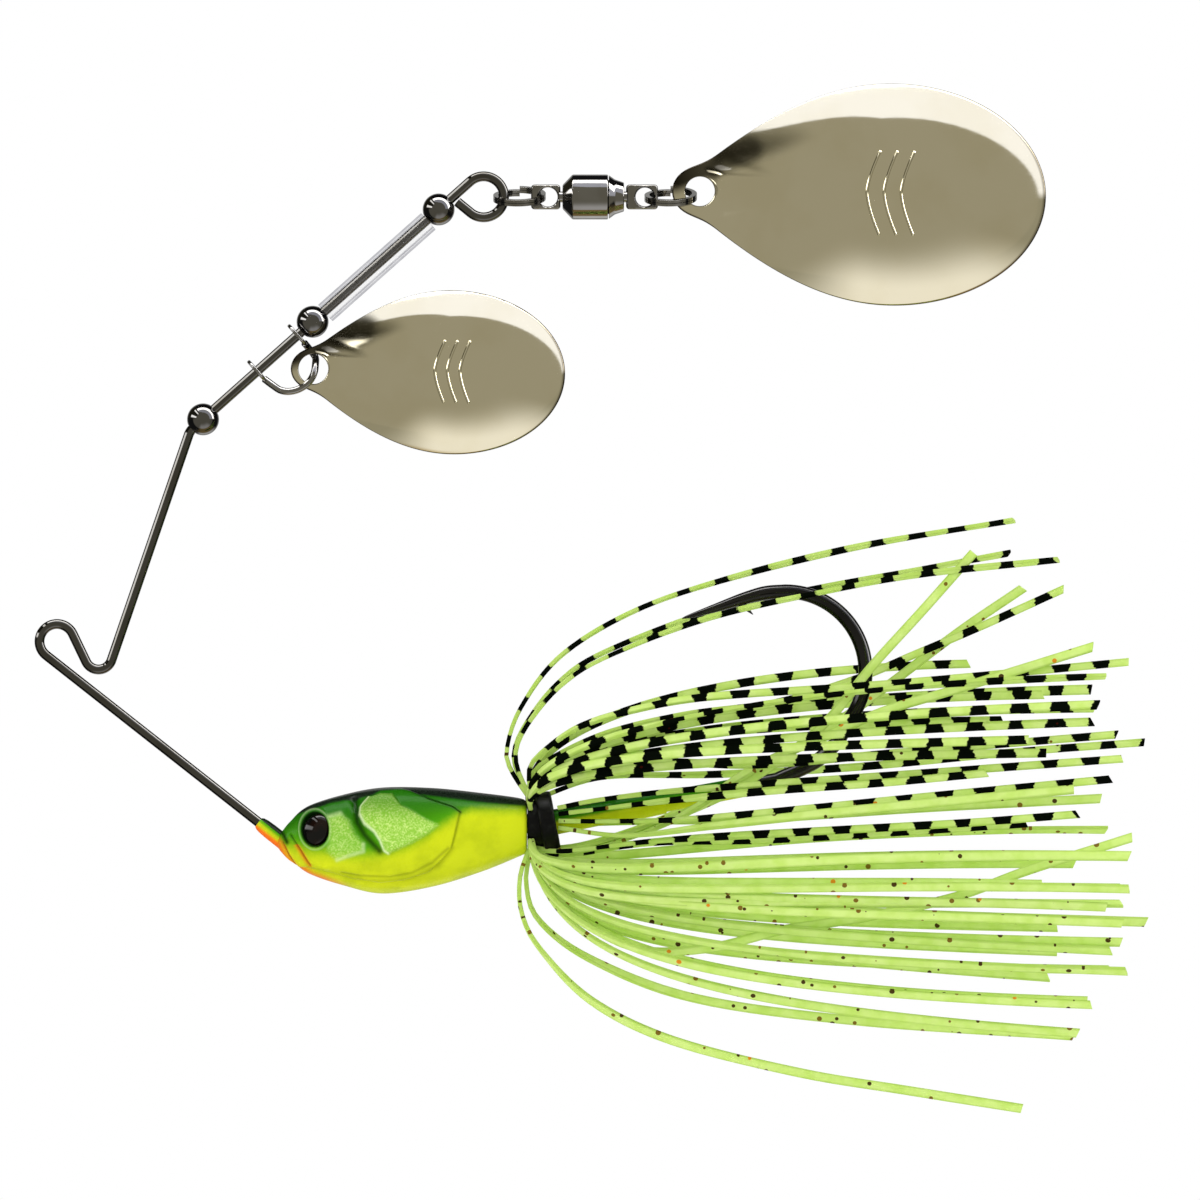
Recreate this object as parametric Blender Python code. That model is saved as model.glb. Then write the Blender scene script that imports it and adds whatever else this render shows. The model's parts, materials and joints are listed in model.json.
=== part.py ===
"""A spinnerbait: wire frame, painted lead head, hook, silicone skirt, beads, clevis blade and swivel blade.

Blender 4.5. Metres, +Z up. The origin is the centre of the line-tie bend, the wire lies in the XZ plane,
and +X points to the tail. Sizes below are in millimetres, and mm() turns them into metres.
"""

import math

import bmesh
import bpy
from mathutils import Matrix, Vector

MM = 0.001
SIDE = Vector((0, 1, 0))  # across the lure


def mm(x, y, z):
    return Vector((x, y, z)) * MM


def in_plane(angle_deg):
    """The unit vector in the XZ plane at this angle above +X."""
    angle = math.radians(angle_deg)
    return Vector((math.cos(angle), 0, math.sin(angle)))


# ---------------------------------------------------------------- driving dimensions, millimetres and degrees

WIRE_R = 0.5
TIE_R = 1.75  # bend that the line is tied to, centred on the origin
LONG_ARM_DEG = -38.2  # long arm, from the line tie down to the head
SHORT_LEG_DEG = -63.5
U_CENTRE, U_R = (4.15, -1.43), 1.37  # small bend under the line tie
LOWER_ARM_DEG = 71.1
ARM_BEND, ARM_BEND_R = (13.3, 21.05), 1.5
UPPER_ARM_DEG = 41.7
LOOP_AT, LOOP_R = 37.5, 2.05  # end loop: where its bend starts along the upper arm, and its radius
LOOP_TURN_DEG = 261
TAG_LENGTH = 1.25

BEAD_R, BEAD_BORE_R = 1.6, 0.62
LOWER_BEAD_AT, MIDDLE_BEAD_AT, UPPER_BEAD_AT = 1.75, 16.42, 33.3  # along the upper arm from its bend
SLEEVE_START, SLEEVE_END = 17.95, 31.75
SLEEVE_R, SLEEVE_BORE_R, SLEEVE_HANG = 1.1, 0.82, 0.2

CLEVIS_WIRE_R = 0.36
CLEVIS_EYES_AT = (9.0, 14.4)
CLEVIS_EYE_R, CLEVIS_EYE_BORE_R, CLEVIS_EYE_THICK = 1.4, 0.66, 0.36

BLADE_THICK = 0.4
SMALL_BLADE = {"hole": (25.65, 27.25), "deg": -1.4, "length": 27.45, "half_width": 8.2,
               "hole_in": 2.28, "hole_r": 1.5, "cup": 2.6}
LARGE_BLADE = {"hole": (64.28, 45.0), "deg": -0.95, "length": 37.4, "half_width": 11.1,
               "hole_in": 2.78, "hole_r": 1.47, "cup": 3.4}

SWIVEL_Z = 44.45
RING_OUTER_R, RING_INNER_R, RING_PITCH, RING_LEAF = 2.63, 2.13, 0.34, 0.3
RING_TILT_DEG = 17
RING_FRONT_X, RING_REAR_X = 46.25, 61.37
LUG_HALF_HEIGHT, LUG_THICK = 1.25, 0.8
STEM_R, FLANGE_R = 0.55, 1.3
FRONT_LUG, FRONT_HOLE = (47.4, 50.35), (49.1, 0.95)
REAR_LUG, REAR_HOLE = (56.9, 60.1), (58.8, 0.93)
FRONT_FLANGE, REAR_FLANGE = (51.5, 52.0), (53.2, 53.7)
BALLS, BALL_R, BALL_PITCH_R, BALL_X = 6, 0.4, 1.2, 54.175

SHANK_DEG = 10.5
HOOK_R, HOOK_FIT = 0.72, 0.1  # the wire of the hook, and the clearance of its channel in the head
HOOK_EYE, HOOK_EYE_R = (33.0, -21.04), 1.35
HOOK_BEND, HOOK_BEND_R = (72.85, -3.0), 8.0
WIRE_FIT = 0.09

EYE_AT, EYE_TILT = (26.05, 2.9, -18.8), (0.36, 1.0, 0.1)
EYE_HALF = (1.43, 0.68, 1.66)

COLLAR_X = 47.9  # where the skirt's plane crosses the shank
COLLAR_R, COLLAR_BORE_R, COLLAR_SPAN = 3.2, 2.55, (0.4, 2.0)
ROOT_R = (1.75, 2.3)
ROOT_SPAN = (-0.3, 0.1, 1.9)  # the strands leave from the first of these two stretches
SECTORS = 8
STRAND_STEP_DEG = 13.2  # three strands to a sector
STRAND_WIDTH, STRAND_THICK = 1.5, 0.7
SKIRT_TIP = (108.0, -16.5)
SKIRT_REACH_UP, SKIRT_REACH_DOWN, SKIRT_REACH_SIDE, SKIRT_FALL_BACK = 28.5, 30.0, 14.0, 12.0

# stations of the head: distance along X, top, bottom, half width
HEAD_STATIONS = (
    (22.35, -19.75, -20.4, 0.45),
    (22.75, -19.1, -21.0, 1.2),
    (23.6, -17.95, -21.95, 2.05),
    (25.2, -16.45, -23.2, 3.0),
    (28.7, -15.3, -24.4, 4.0),
    (32.6, -14.6, -25.2, 4.4),
    (37.6, -14.65, -24.5, 4.4),
    (42.5, -15.15, -23.0, 3.9),
    (46.2, -15.65, -21.5, 3.2),
    (47.0, -16.05, -21.1, 2.9),
)
# the keeper behind the head: distance along the shank from the collar, radius
KEEPER_PROFILE = (
    (-6.0, 0.0),
    (-6.0, 1.3),
    (0.8, 1.3),
    (7.8, 1.15),
    (8.3, 1.35),
    (13.0, 1.2),
    (13.1, 1.05),
    (20.9, 1.0),
    (20.9, 0.0),
)
KEEPER_DROP = 0.12  # the keeper sits this far under the shank's axis

UPPER_ARM = in_plane(UPPER_ARM_DEG)
UNDER_ARM = in_plane(UPPER_ARM_DEG - 90)
SHANK = in_plane(SHANK_DEG)
OVER_SHANK = in_plane(SHANK_DEG + 90)
COLLAR = Vector((COLLAR_X, 0, -18.28))


# ---------------------------------------------------------------- scene, materials and placing


def clear_scene():
    for obj in list(bpy.data.objects):
        bpy.data.objects.remove(obj, do_unlink=True)


def material(name, colour, roughness, metallic=0.0, alpha=1.0):
    made = bpy.data.materials.get(name)
    if made:
        return made
    made = bpy.data.materials.new(name)
    made.use_nodes = True
    shader = made.node_tree.nodes["Principled BSDF"]
    shader.inputs["Base Color"].default_value = (*colour, 1)
    shader.inputs["Roughness"].default_value = roughness
    shader.inputs["Metallic"].default_value = metallic
    shader.inputs["Alpha"].default_value = alpha
    return made


def black_nickel():
    return material("black_nickel", (0.12, 0.12, 0.13), 0.2, 1.0)


def nickel():
    return material("nickel", (0.6, 0.6, 0.58), 0.15, 1.0)


def pale_gold():
    return material("pale_gold", (0.62, 0.57, 0.42), 0.2, 1.0)


def clear_tube():
    return material("clear_tube", (0.95, 0.95, 0.97), 0.1, 0.0, 0.35)


def head_paint():
    return material("head_paint", (0.62, 0.74, 0.05), 0.3)


def eye_gloss():
    return material("eye_gloss", (0.01, 0.01, 0.01), 0.05)


def skirt_silicone():
    return material("skirt_silicone", (0.48, 0.7, 0.15), 0.4)


def collar_rubber():
    return material("collar_rubber", (0.015, 0.015, 0.015), 0.6)


def as_object(name, bm, skin, matrix=None):
    """The closed mesh as an object, in metres, with its faces turned outwards."""
    bmesh.ops.remove_doubles(bm, verts=bm.verts, dist=1e-5)
    bmesh.ops.recalc_face_normals(bm, faces=bm.faces)
    bmesh.ops.scale(bm, vec=(MM, MM, MM), verts=bm.verts)
    mesh = bpy.data.meshes.new(name)
    bm.to_mesh(mesh)
    bm.free()
    mesh.shade_smooth()
    mesh.materials.append(skin)
    made = bpy.data.objects.new(name, mesh)
    bpy.context.scene.collection.objects.link(made)
    if matrix:
        made.matrix_world = matrix
    return made


def set_origin(obj, point):
    """Moves the origin of an object that has no rotation to this point, leaving its shape in place."""
    shift = point * MM - obj.location
    obj.data.transform(Matrix.Translation(-shift))
    obj.location = point * MM


def facing(direction, point):
    """The matrix that lays local X along direction, in the XZ plane, at point."""
    turn = Matrix.Rotation(-math.atan2(direction.z, direction.x), 4, "Y")
    return Matrix.Translation(point * MM) @ turn


def combine(obj, others, operation):
    for other in others:
        made = obj.modifiers.new(operation.lower(), "BOOLEAN")
        made.operation = operation
        made.solver = "EXACT"
        made.object = other
        other.hide_render = True
        other.display_type = "WIRE"


# ---------------------------------------------------------------- paths


def arc(centre, radius, start_deg, end_deg, steps):
    """Points on an arc in the XZ plane."""
    middle = Vector((centre[0], 0, centre[1]))
    turn = end_deg - start_deg
    return [middle + in_plane(start_deg + turn * k / steps) * radius for k in range(steps + 1)]


def rounded(points, radius, steps=5):
    """The polyline with each inner corner replaced by an arc of this radius."""
    path = [points[0]]
    for before, corner, after in zip(points, points[1:], points[2:]):
        back = (before - corner).normalized()
        on = (after - corner).normalized()
        half = back.angle(on) / 2
        centre = corner + (back + on).normalized() * radius / math.sin(half)
        spoke = corner + back * radius / math.tan(half) - centre
        axis = back.cross(on)
        for k in range(steps + 1):
            turn = Matrix.Rotation(-(math.pi - 2 * half) * k / steps, 3, axis)
            path.append(centre + turn @ spoke)
    return path + [points[-1]]


def smooth(points, steps=4):
    """A Catmull-Rom curve through the points."""
    ends = [points[0] * 2 - points[1], *points, points[-1] * 2 - points[-2]]
    path = []
    for a, b, c, d in zip(ends, ends[1:], ends[2:], ends[3:]):
        for k in range(steps):
            t = k / steps
            path.append(
                (b * 2 + (c - a) * t + (a * 2 - b * 5 + c * 4 - d) * t**2
                 + (b * 3 - a - c * 3 + d) * t**3) / 2
            )
    return path + [points[-1]]


def bezier(a, b, c, d, steps):
    path = []
    for k in range(steps + 1):
        t = k / steps
        s = 1 - t
        path.append(a * s**3 + b * 3 * s**2 * t + c * 3 * s * t**2 + d * t**3)
    return path


def tangents(path):
    ends = [path[0] * 2 - path[1], *path, path[-1] * 2 - path[-2]]
    return [(c - a).normalized() for a, c in zip(ends, ends[2:])]


def on_arm(distance):
    """The point this far along the upper arm from its bend."""
    return Vector((ARM_BEND[0], 0, ARM_BEND[1])) + UPPER_ARM * distance


def wire_path():
    long_arm = in_plane(LONG_ARM_DEG)
    tie_start = in_plane(LONG_ARM_DEG - 90) * TIE_R
    inside_nose = tie_start + long_arm * 32.7
    eye = Vector((HOOK_EYE[0], 0, HOOK_EYE[1]))
    beside_eye = SIDE * -1.5
    into_head = rounded(
        [eye + SIDE * 1.5, eye + beside_eye, Vector((29.4, -1.5, -21.5)), inside_nose, tie_start], 0.9
    )
    tie = arc((0, 0), TIE_R, LONG_ARM_DEG - 90, SHORT_LEG_DEG + 90 - 360, 14)
    under_tie = arc(U_CENTRE, U_R, SHORT_LEG_DEG - 90, LOWER_ARM_DEG - 90, 9)
    bend = rounded([under_tie[-1], on_arm(0), on_arm(LOOP_AT)], ARM_BEND_R, 4)
    loop_centre = on_arm(LOOP_AT) + UNDER_ARM * LOOP_R
    start = UPPER_ARM_DEG + 90
    loop = arc((loop_centre.x, loop_centre.z), LOOP_R, start, start - LOOP_TURN_DEG, 20)
    tag = loop[-1] + in_plane(start - LOOP_TURN_DEG - 90) * TAG_LENGTH
    return into_head[:-1] + tie + under_tie + bend[1:-1] + loop + [tag]


def hook_path():
    """Points of the hook's wire from its eye to its point."""
    eye = arc(HOOK_EYE, HOOK_EYE_R, SHANK_DEG + 50, SHANK_DEG + 318, 14)
    centre = Vector((HOOK_EYE[0], 0, HOOK_EYE[1]))
    shank = [centre + SHANK * 3.4, centre + SHANK * 10, COLLAR, COLLAR + SHANK * 12, COLLAR + SHANK * 23.8]
    heel = smooth([COLLAR + SHANK * 24.5, mm(75.8, 0, -12.05) / MM, mm(78.1, 0, -10.0) / MM], 3)
    bend = arc(HOOK_BEND, HOOK_BEND_R, -37, 90, 12)
    spear = [mm(x, 0, z) / MM for x, z in ((70.9, 4.85), (68.7, 4.3), (66.3, 3.5), (64.3, 2.85), (62.5, 2.3))]
    return eye + shank + heel + bend + spear


# ---------------------------------------------------------------- solids


def bridge(bm, rings, closed=False):
    """Walls between neighbouring rings of vertices, with a lid on each end unless the rings close."""
    pairs = list(zip(rings, rings[1:]))
    if closed:
        pairs.append((rings[-1], rings[0]))
    for first, second in pairs:
        for k in range(len(first)):
            nxt = (k + 1) % len(first)
            bm.faces.new((first[k], first[nxt], second[nxt], second[k]))
    if not closed:
        bm.faces.new(rings[0])
        bm.faces.new(rings[-1])


def sweep(bm, path, radii, sides):
    """A round bar along the path, with one radius for each of its points."""
    heading = tangents(path)
    across = heading[0].orthogonal().normalized()
    rings = []
    for point, ahead, radius in zip(path, heading, radii):
        across = (across - ahead * across.dot(ahead)).normalized()
        up = ahead.cross(across)
        ring = []
        for k in range(sides):
            angle = 2 * math.pi * (k + 0.5) / sides
            ring.append(bm.verts.new(point + (across * math.cos(angle) + up * math.sin(angle)) * radius))
        rings.append(ring)
    bridge(bm, rings)


def bar(name, path, radius, skin, sides=10):
    bm = bmesh.new()
    radii = radius if isinstance(radius, list) else [radius] * len(path)
    sweep(bm, path, radii, sides)
    return as_object(name, bm, skin)


def lathe(name, profile, skin, matrix, sides=16, closed=True):
    """The profile, as (distance along local X, radius), turned about local X."""
    bm = bmesh.new()
    points = [bm.verts.new((x, 0, radius)) for x, radius in profile]
    pairs = list(zip(points, points[1:]))
    if closed:
        pairs.append((points[-1], points[0]))
    edges = [bm.edges.new(pair) for pair in pairs]
    bmesh.ops.spin(bm, geom=points + edges, axis=(1, 0, 0), cent=(0, 0, 0), angle=2 * math.pi, steps=sides)
    return as_object(name, bm, skin, matrix)


def box(name, low, high, skin):
    bm = bmesh.new()
    bmesh.ops.create_cube(bm, size=1)
    size = Vector(high) - Vector(low)
    bmesh.ops.scale(bm, vec=size, verts=bm.verts)
    bmesh.ops.translate(bm, vec=(Vector(high) + Vector(low)) / 2, verts=bm.verts)
    return as_object(name, bm, skin)


def hole_cutter(name, point, radius, reach, sides=20):
    """A cylinder across the lure."""
    bm = bmesh.new()
    bmesh.ops.create_cone(bm, cap_ends=True, segments=sides, radius1=radius, radius2=radius, depth=reach)
    bmesh.ops.rotate(bm, matrix=Matrix.Rotation(math.pi / 2, 3, "X"), verts=bm.verts)
    bmesh.ops.translate(bm, vec=point, verts=bm.verts)
    return as_object(name, bm, black_nickel())


# ---------------------------------------------------------------- wire, beads, sleeve and clevis


def make_wire():
    bar("wire_frame", wire_path(), WIRE_R, black_nickel())


def make_bead(name, distance):
    half = math.acos(BEAD_BORE_R / BEAD_R)
    steps = 8
    angles = [half * (2 * k / steps - 1) for k in range(steps + 1)]
    profile = [(BEAD_R * math.sin(a), BEAD_R * math.cos(a)) for a in angles]
    lathe(name, profile, nickel(), facing(UPPER_ARM, on_arm(distance)))


def make_sleeve():
    half = (SLEEVE_END - SLEEVE_START) / 2
    profile = [(-half, SLEEVE_BORE_R), (-half, SLEEVE_R), (half, SLEEVE_R), (half, SLEEVE_BORE_R)]
    middle = on_arm(SLEEVE_START + half) + UNDER_ARM * SLEEVE_HANG
    lathe("clear_sleeve", profile, clear_tube(), facing(UPPER_ARM, middle))


def clevis_path():
    """From the lower eye, in front of the blade, through its hole and behind it to the upper eye."""
    rim = (CLEVIS_EYE_R + CLEVIS_EYE_BORE_R) / 2
    first = on_arm(CLEVIS_EYES_AT[0]) + UNDER_ARM * rim
    last = on_arm(CLEVIS_EYES_AT[1]) + UNDER_ARM * rim
    between = (
        (21.6, -0.4, 25.6), (22.4, -0.65, 25.1), (23.3, -0.8, 24.98), (24.3, -0.84, 25.25),
        (25.2, -0.84, 25.9), (25.72, -0.68, 26.8), (25.85, 0.0, 27.8), (25.8, 0.75, 28.45),
        (25.35, 0.9, 29.1),
    )
    return smooth([first, *map(Vector, between), last], 3)


def make_clevis():
    clevis = bar("clevis", clevis_path(), CLEVIS_WIRE_R, black_nickel(), sides=8)
    half = CLEVIS_EYE_THICK / 2
    profile = [(-half, CLEVIS_EYE_BORE_R), (-half, CLEVIS_EYE_R), (half, CLEVIS_EYE_R), (half, CLEVIS_EYE_BORE_R)]
    eyes = [
        lathe(f"clevis_eye_{k}", profile, black_nickel(), facing(UPPER_ARM, on_arm(distance)))
        for k, distance in enumerate(CLEVIS_EYES_AT)
    ]
    combine(clevis, eyes, "UNION")
    set_origin(clevis, on_arm(CLEVIS_EYES_AT[0]))


# ---------------------------------------------------------------- blades, rings and swivel


def blade_half_width(blade, distance):
    """Half the blade's width this far from its tip: a round tip, a long shoulder and an elliptic end."""
    widest = 0.59 * blade["length"]
    if distance > widest:
        share = (distance - widest) / (blade["length"] - widest)
        return blade["half_width"] * math.sqrt(max(1 - share**2, 0))
    shoulder = blade["half_width"] * math.sin(math.pi / 2 * (distance / widest) ** 0.95)
    tip_r = 0.83 * blade["hole_in"]
    rounded_tip = math.sqrt(max(tip_r**2 - (distance - tip_r) ** 2, 0)) if distance < 2 * tip_r else 0
    return (shoulder**4 + rounded_tip**4) ** 0.25


def blade_depth(blade, distance, out):
    """How far the blade bulges: most in the middle, nothing at the rim or near the tip."""
    share = distance / blade["length"]
    leave = min(share / 0.14, 1)
    rise = (1 - 0.45 * max(1 - 2 * share, 0) ** 2) * leave**2 * (3 - 2 * leave)
    return blade["cup"] * (1 - out**2.4) * rise


def blade_outline(blade, steps):
    """Points (distance from the tip, across) round the rim, closest together at both ends."""
    side = [blade["length"] * (1 - math.cos(math.pi * k / steps)) / 2 for k in range(steps + 1)]
    top = [(d, blade_half_width(blade, d)) for d in side]
    return top + [(d, -w) for d, w in reversed(top[1:-1])]


def make_blade(name, blade, steps=14, rings=5):
    bm = bmesh.new()
    rim = blade_outline(blade, steps)
    middle = 0.55 * blade["length"]
    half = BLADE_THICK / 2
    shells = []
    for face in (-half, half):
        loops = []
        for k in range(1, rings + 1):
            out = math.sin(math.pi / 2 * k / rings)
            loop = []
            for distance, across in rim:
                d, a = middle + (distance - middle) * out, across * out
                loop.append(bm.verts.new((d - blade["hole_in"], face - blade_depth(blade, d, out), a)))
            loops.append(loop)
        centre = bm.verts.new((middle - blade["hole_in"], face - blade_depth(blade, middle, 0), 0))
        for k in range(len(rim)):
            bm.faces.new((centre, loops[0][k], loops[0][(k + 1) % len(rim)]))
        shells.append(loops)
    front, back = shells
    for loops in shells:
        for inner, outer in zip(loops, loops[1:]):
            for k in range(len(rim)):
                nxt = (k + 1) % len(rim)
                bm.faces.new((inner[k], inner[nxt], outer[nxt], outer[k]))
    for k in range(len(rim)):
        nxt = (k + 1) % len(rim)
        bm.faces.new((front[-1][k], front[-1][nxt], back[-1][nxt], back[-1][k]))
    hole = Vector((blade["hole"][0], 0, blade["hole"][1]))
    made = as_object(name, bm, pale_gold(), facing(in_plane(blade["deg"]), hole))
    combine(made, [hole_cutter(f"{name}_hole", hole, blade["hole_r"], 3)], "DIFFERENCE")


def make_ring(name, x):
    """A split ring: two turns of flat wire, one on the other, with its ends halfway round to the side."""
    turns, steps = 2, 22
    bm = bmesh.new()
    rings = []
    for k in range(turns * steps + 1):
        turn = k / steps
        angle = 2 * math.pi * (turn + 0.25)
        height = (turn - turns / 2) * RING_PITCH
        spoke = Vector((math.cos(angle), math.sin(angle), 0))
        corners = ((RING_INNER_R, -1), (RING_OUTER_R, -1), (RING_OUTER_R, 1), (RING_INNER_R, 1))
        rings.append([bm.verts.new(spoke * r + Vector((0, 0, height + s * RING_LEAF / 2))) for r, s in corners])
    bridge(bm, rings)
    tilt = Matrix.Rotation(math.radians(RING_TILT_DEG), 4, "X")
    as_object(name, bm, nickel(), Matrix.Translation(mm(x, 0, SWIVEL_Z)) @ tilt)


def at_swivel():
    return Matrix.Translation(mm(0, 0, SWIVEL_Z))


def make_lug(name, lug, hole, flange, towards):
    """An eye of the swivel: a flat lug, and a stem with a flange that the barrel holds."""
    plate = box(
        name,
        (lug[0], -LUG_THICK / 2, SWIVEL_Z - LUG_HALF_HEIGHT),
        (lug[1], LUG_THICK / 2, SWIVEL_Z + LUG_HALF_HEIGHT),
        nickel(),
    )
    inner, outer = (flange[0], flange[1]) if towards > 0 else (flange[1], flange[0])
    root = lug[1] - 0.3 if towards > 0 else lug[0] + 0.3
    profile = [(root, 0), (root, STEM_R), (inner, STEM_R), (inner, FLANGE_R), (outer, FLANGE_R), (outer, 0)]
    stem = lathe(f"{name}_stem", profile, nickel(), at_swivel(), closed=False)
    combine(plate, [stem], "UNION")
    centre = Vector((hole[0], 0, SWIVEL_Z))
    combine(plate, [hole_cutter(f"{name}_hole", centre, hole[1], 3, 16)], "DIFFERENCE")
    set_origin(plate, Vector((hole[0], 0, SWIVEL_Z)))


def make_swivel():
    bore = STEM_R + 0.2
    barrel = [(50.55, bore), (50.55, 1.2), (51.55, 2.25), (55.1, 2.25), (55.1, 1.75), (51.4, 1.75), (51.4, bore)]
    cap = [(54.65, bore), (54.65, 1.68), (55.18, 1.68), (55.18, 2.2), (55.8, 1.75), (56.7, 1.45), (56.7, bore)]
    lathe("swivel_barrel", barrel, nickel(), at_swivel(), sides=20)
    lathe("swivel_end_cap", cap, nickel(), at_swivel(), sides=20)
    make_lug("swivel_front_eye", FRONT_LUG, FRONT_HOLE, FRONT_FLANGE, 1)
    make_lug("swivel_rear_eye", REAR_LUG, REAR_HOLE, REAR_FLANGE, -1)
    for k in range(BALLS):
        angle = 2 * math.pi * k / BALLS
        bm = bmesh.new()
        bmesh.ops.create_icosphere(bm, subdivisions=2, radius=BALL_R)
        place = mm(BALL_X, BALL_PITCH_R * math.sin(angle), SWIVEL_Z + BALL_PITCH_R * math.cos(angle))
        as_object(f"bearing_ball_{k + 1}", bm, nickel(), Matrix.Translation(place))


# ---------------------------------------------------------------- head, eyes and hook


def head_sections():
    """Points of the head's stations, with two more between each pair, on a smooth curve."""
    stations = [Vector(row) for row in HEAD_STATIONS]
    return smooth(stations, 2)


def make_head_body(sides=20):
    bm = bmesh.new()
    rings = []
    for x, top, bottom, half_width in head_sections():
        middle, half_height = (top + bottom) / 2, (top - bottom) / 2
        ring = []
        for k in range(sides):
            angle = 2 * math.pi * k / sides
            y = half_width * math.copysign(abs(math.sin(angle)) ** 0.9, math.sin(angle))
            z = middle + half_height * math.cos(angle)
            ring.append(bm.verts.new((x, y, z)))
        rings.append(ring)
    bridge(bm, rings)
    return as_object("head", bm, head_paint())


def eye_matrix(side):
    """Places an eye on one side of the head, its local Y along the way it looks."""
    look = Vector((-EYE_TILT[0], side * EYE_TILT[1], EYE_TILT[2])).normalized()
    turn = SIDE.rotation_difference(look).to_matrix().to_4x4()
    return Matrix.Translation(mm(EYE_AT[0], side * EYE_AT[1], EYE_AT[2])) @ turn


def make_eye(name, side, grow=0.0):
    bm = bmesh.new()
    bmesh.ops.create_uvsphere(bm, u_segments=16, v_segments=10, radius=1)
    bmesh.ops.scale(bm, vec=[half + grow for half in EYE_HALF], verts=bm.verts)
    return as_object(name, bm, eye_gloss(), eye_matrix(side))


def make_head():
    head = make_head_body()
    nose = in_plane(LONG_ARM_DEG)
    on_wire = in_plane(LONG_ARM_DEG - 90) * TIE_R
    stem = bar("head_nose_stem", [on_wire + nose * 27.0, on_wire + nose * 32.0], 0.78, head_paint(), 12)
    keeper_axis = facing(SHANK, COLLAR - OVER_SHANK * KEEPER_DROP)
    keeper = lathe("head_keeper", KEEPER_PROFILE, head_paint(), keeper_axis, closed=False)
    combine(head, [stem, keeper], "UNION")
    wire = wire_path()[:40]
    wire[0] = wire[0] + SIDE * 0.2
    wire_channel = bar("head_wire_channel", wire, WIRE_R + WIRE_FIT, head_paint())
    hook = hook_path()[:20]
    hook_channel = bar("head_hook_channel", hook, HOOK_R + HOOK_FIT, head_paint())
    sockets = [make_eye(f"head_eye_socket_{side}", side, 0.06) for side in (-1, 1)]
    combine(head, [wire_channel, hook_channel, *sockets], "DIFFERENCE")


def make_hook():
    path = hook_path()
    taper = 5
    radii = [HOOK_R] * (len(path) - taper) + [HOOK_R * k for k in (0.95, 0.85, 0.68, 0.42, 0.08)]
    hook = bar("hook", path, radii, black_nickel())
    barb_path = [Vector((68.2, 0, 4.1)), Vector((68.6, 0, 3.6)), Vector((69.5, 0, 2.75))]
    barb = bar("hook_barb", barb_path, [0.45, 0.4, 0.06], black_nickel(), 8)
    combine(hook, [barb], "UNION")


# ---------------------------------------------------------------- skirt


def outwards(azimuth_deg):
    """The unit vector square to the shank at this angle from straight over it, towards +Y."""
    angle = math.radians(azimuth_deg)
    return OVER_SHANK * math.cos(angle) + SIDE * math.sin(angle)


def make_collar():
    profile = [(COLLAR_SPAN[0], COLLAR_BORE_R), (COLLAR_SPAN[0], COLLAR_R)]
    profile += [(COLLAR_SPAN[1], COLLAR_R), (COLLAR_SPAN[1], COLLAR_BORE_R)]
    lathe("skirt_collar", profile, collar_rubber(), facing(SHANK, COLLAR), sides=24)


def strand_path(azimuth_deg, steps=13):
    """A strand's middle line: out past the collar, then over and back to its tip."""
    angle = math.radians(azimuth_deg)
    up, across = math.cos(angle), math.sin(angle)
    reach = SKIRT_REACH_UP if up > 0 else SKIRT_REACH_DOWN
    tip = Vector((SKIRT_TIP[0] - SKIRT_FALL_BACK * up**2, SKIRT_REACH_SIDE * across, SKIRT_TIP[1] + reach * up))
    out = outwards(azimuth_deg)
    start = COLLAR + SHANK * (ROOT_SPAN[0] + ROOT_SPAN[1]) / 2 + out * ROOT_R[1]
    lift = 3.5 + 0.4 * math.hypot(reach * up, SKIRT_REACH_SIDE * across)
    past = start + (tip - start) * 0.34
    past.y, past.z = tip.y * 0.92, SKIRT_TIP[1] + (tip.z - SKIRT_TIP[1]) * 0.9
    return bezier(start, start + out * lift, past, tip, steps)


def extrude_strand(bm, face, azimuth_deg):
    """Carries one face of the root along a strand's path, widening as the strands part."""
    path = strand_path(azimuth_deg)
    heading = tangents(path)
    across = SHANK.cross(outwards(azimuth_deg)).normalized()
    corners = list(face.verts)
    middle = face.calc_center_median()
    signs = []
    for corner in corners:
        arm = corner.co - middle
        signs.append((math.copysign(1, arm.dot(across)), math.copysign(1, arm.dot(-SHANK))))
    bm.faces.remove(face)
    ring = corners
    for k in range(1, len(path)):
        point, ahead = path[k], heading[k]
        across = (across - ahead * across.dot(ahead)).normalized()
        over = across.cross(ahead)
        if over.dot(-SHANK) < 0 and k == 1:
            over = -over
        from_axis = (point - COLLAR - SHANK * (point - COLLAR).dot(SHANK)).length
        width = min(STRAND_WIDTH, 0.15 * from_axis)
        thick = min(STRAND_THICK, 0.4 + 0.08 * max(from_axis - 3.5, 0))
        nxt = [bm.verts.new(point + across * a * width / 2 + over * b * thick / 2) for a, b in signs]
        for i in range(4):
            j = (i + 1) % 4
            bm.faces.new((ring[i], ring[j], nxt[j], nxt[i]))
        ring = nxt
    bm.faces.new(ring)


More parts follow.
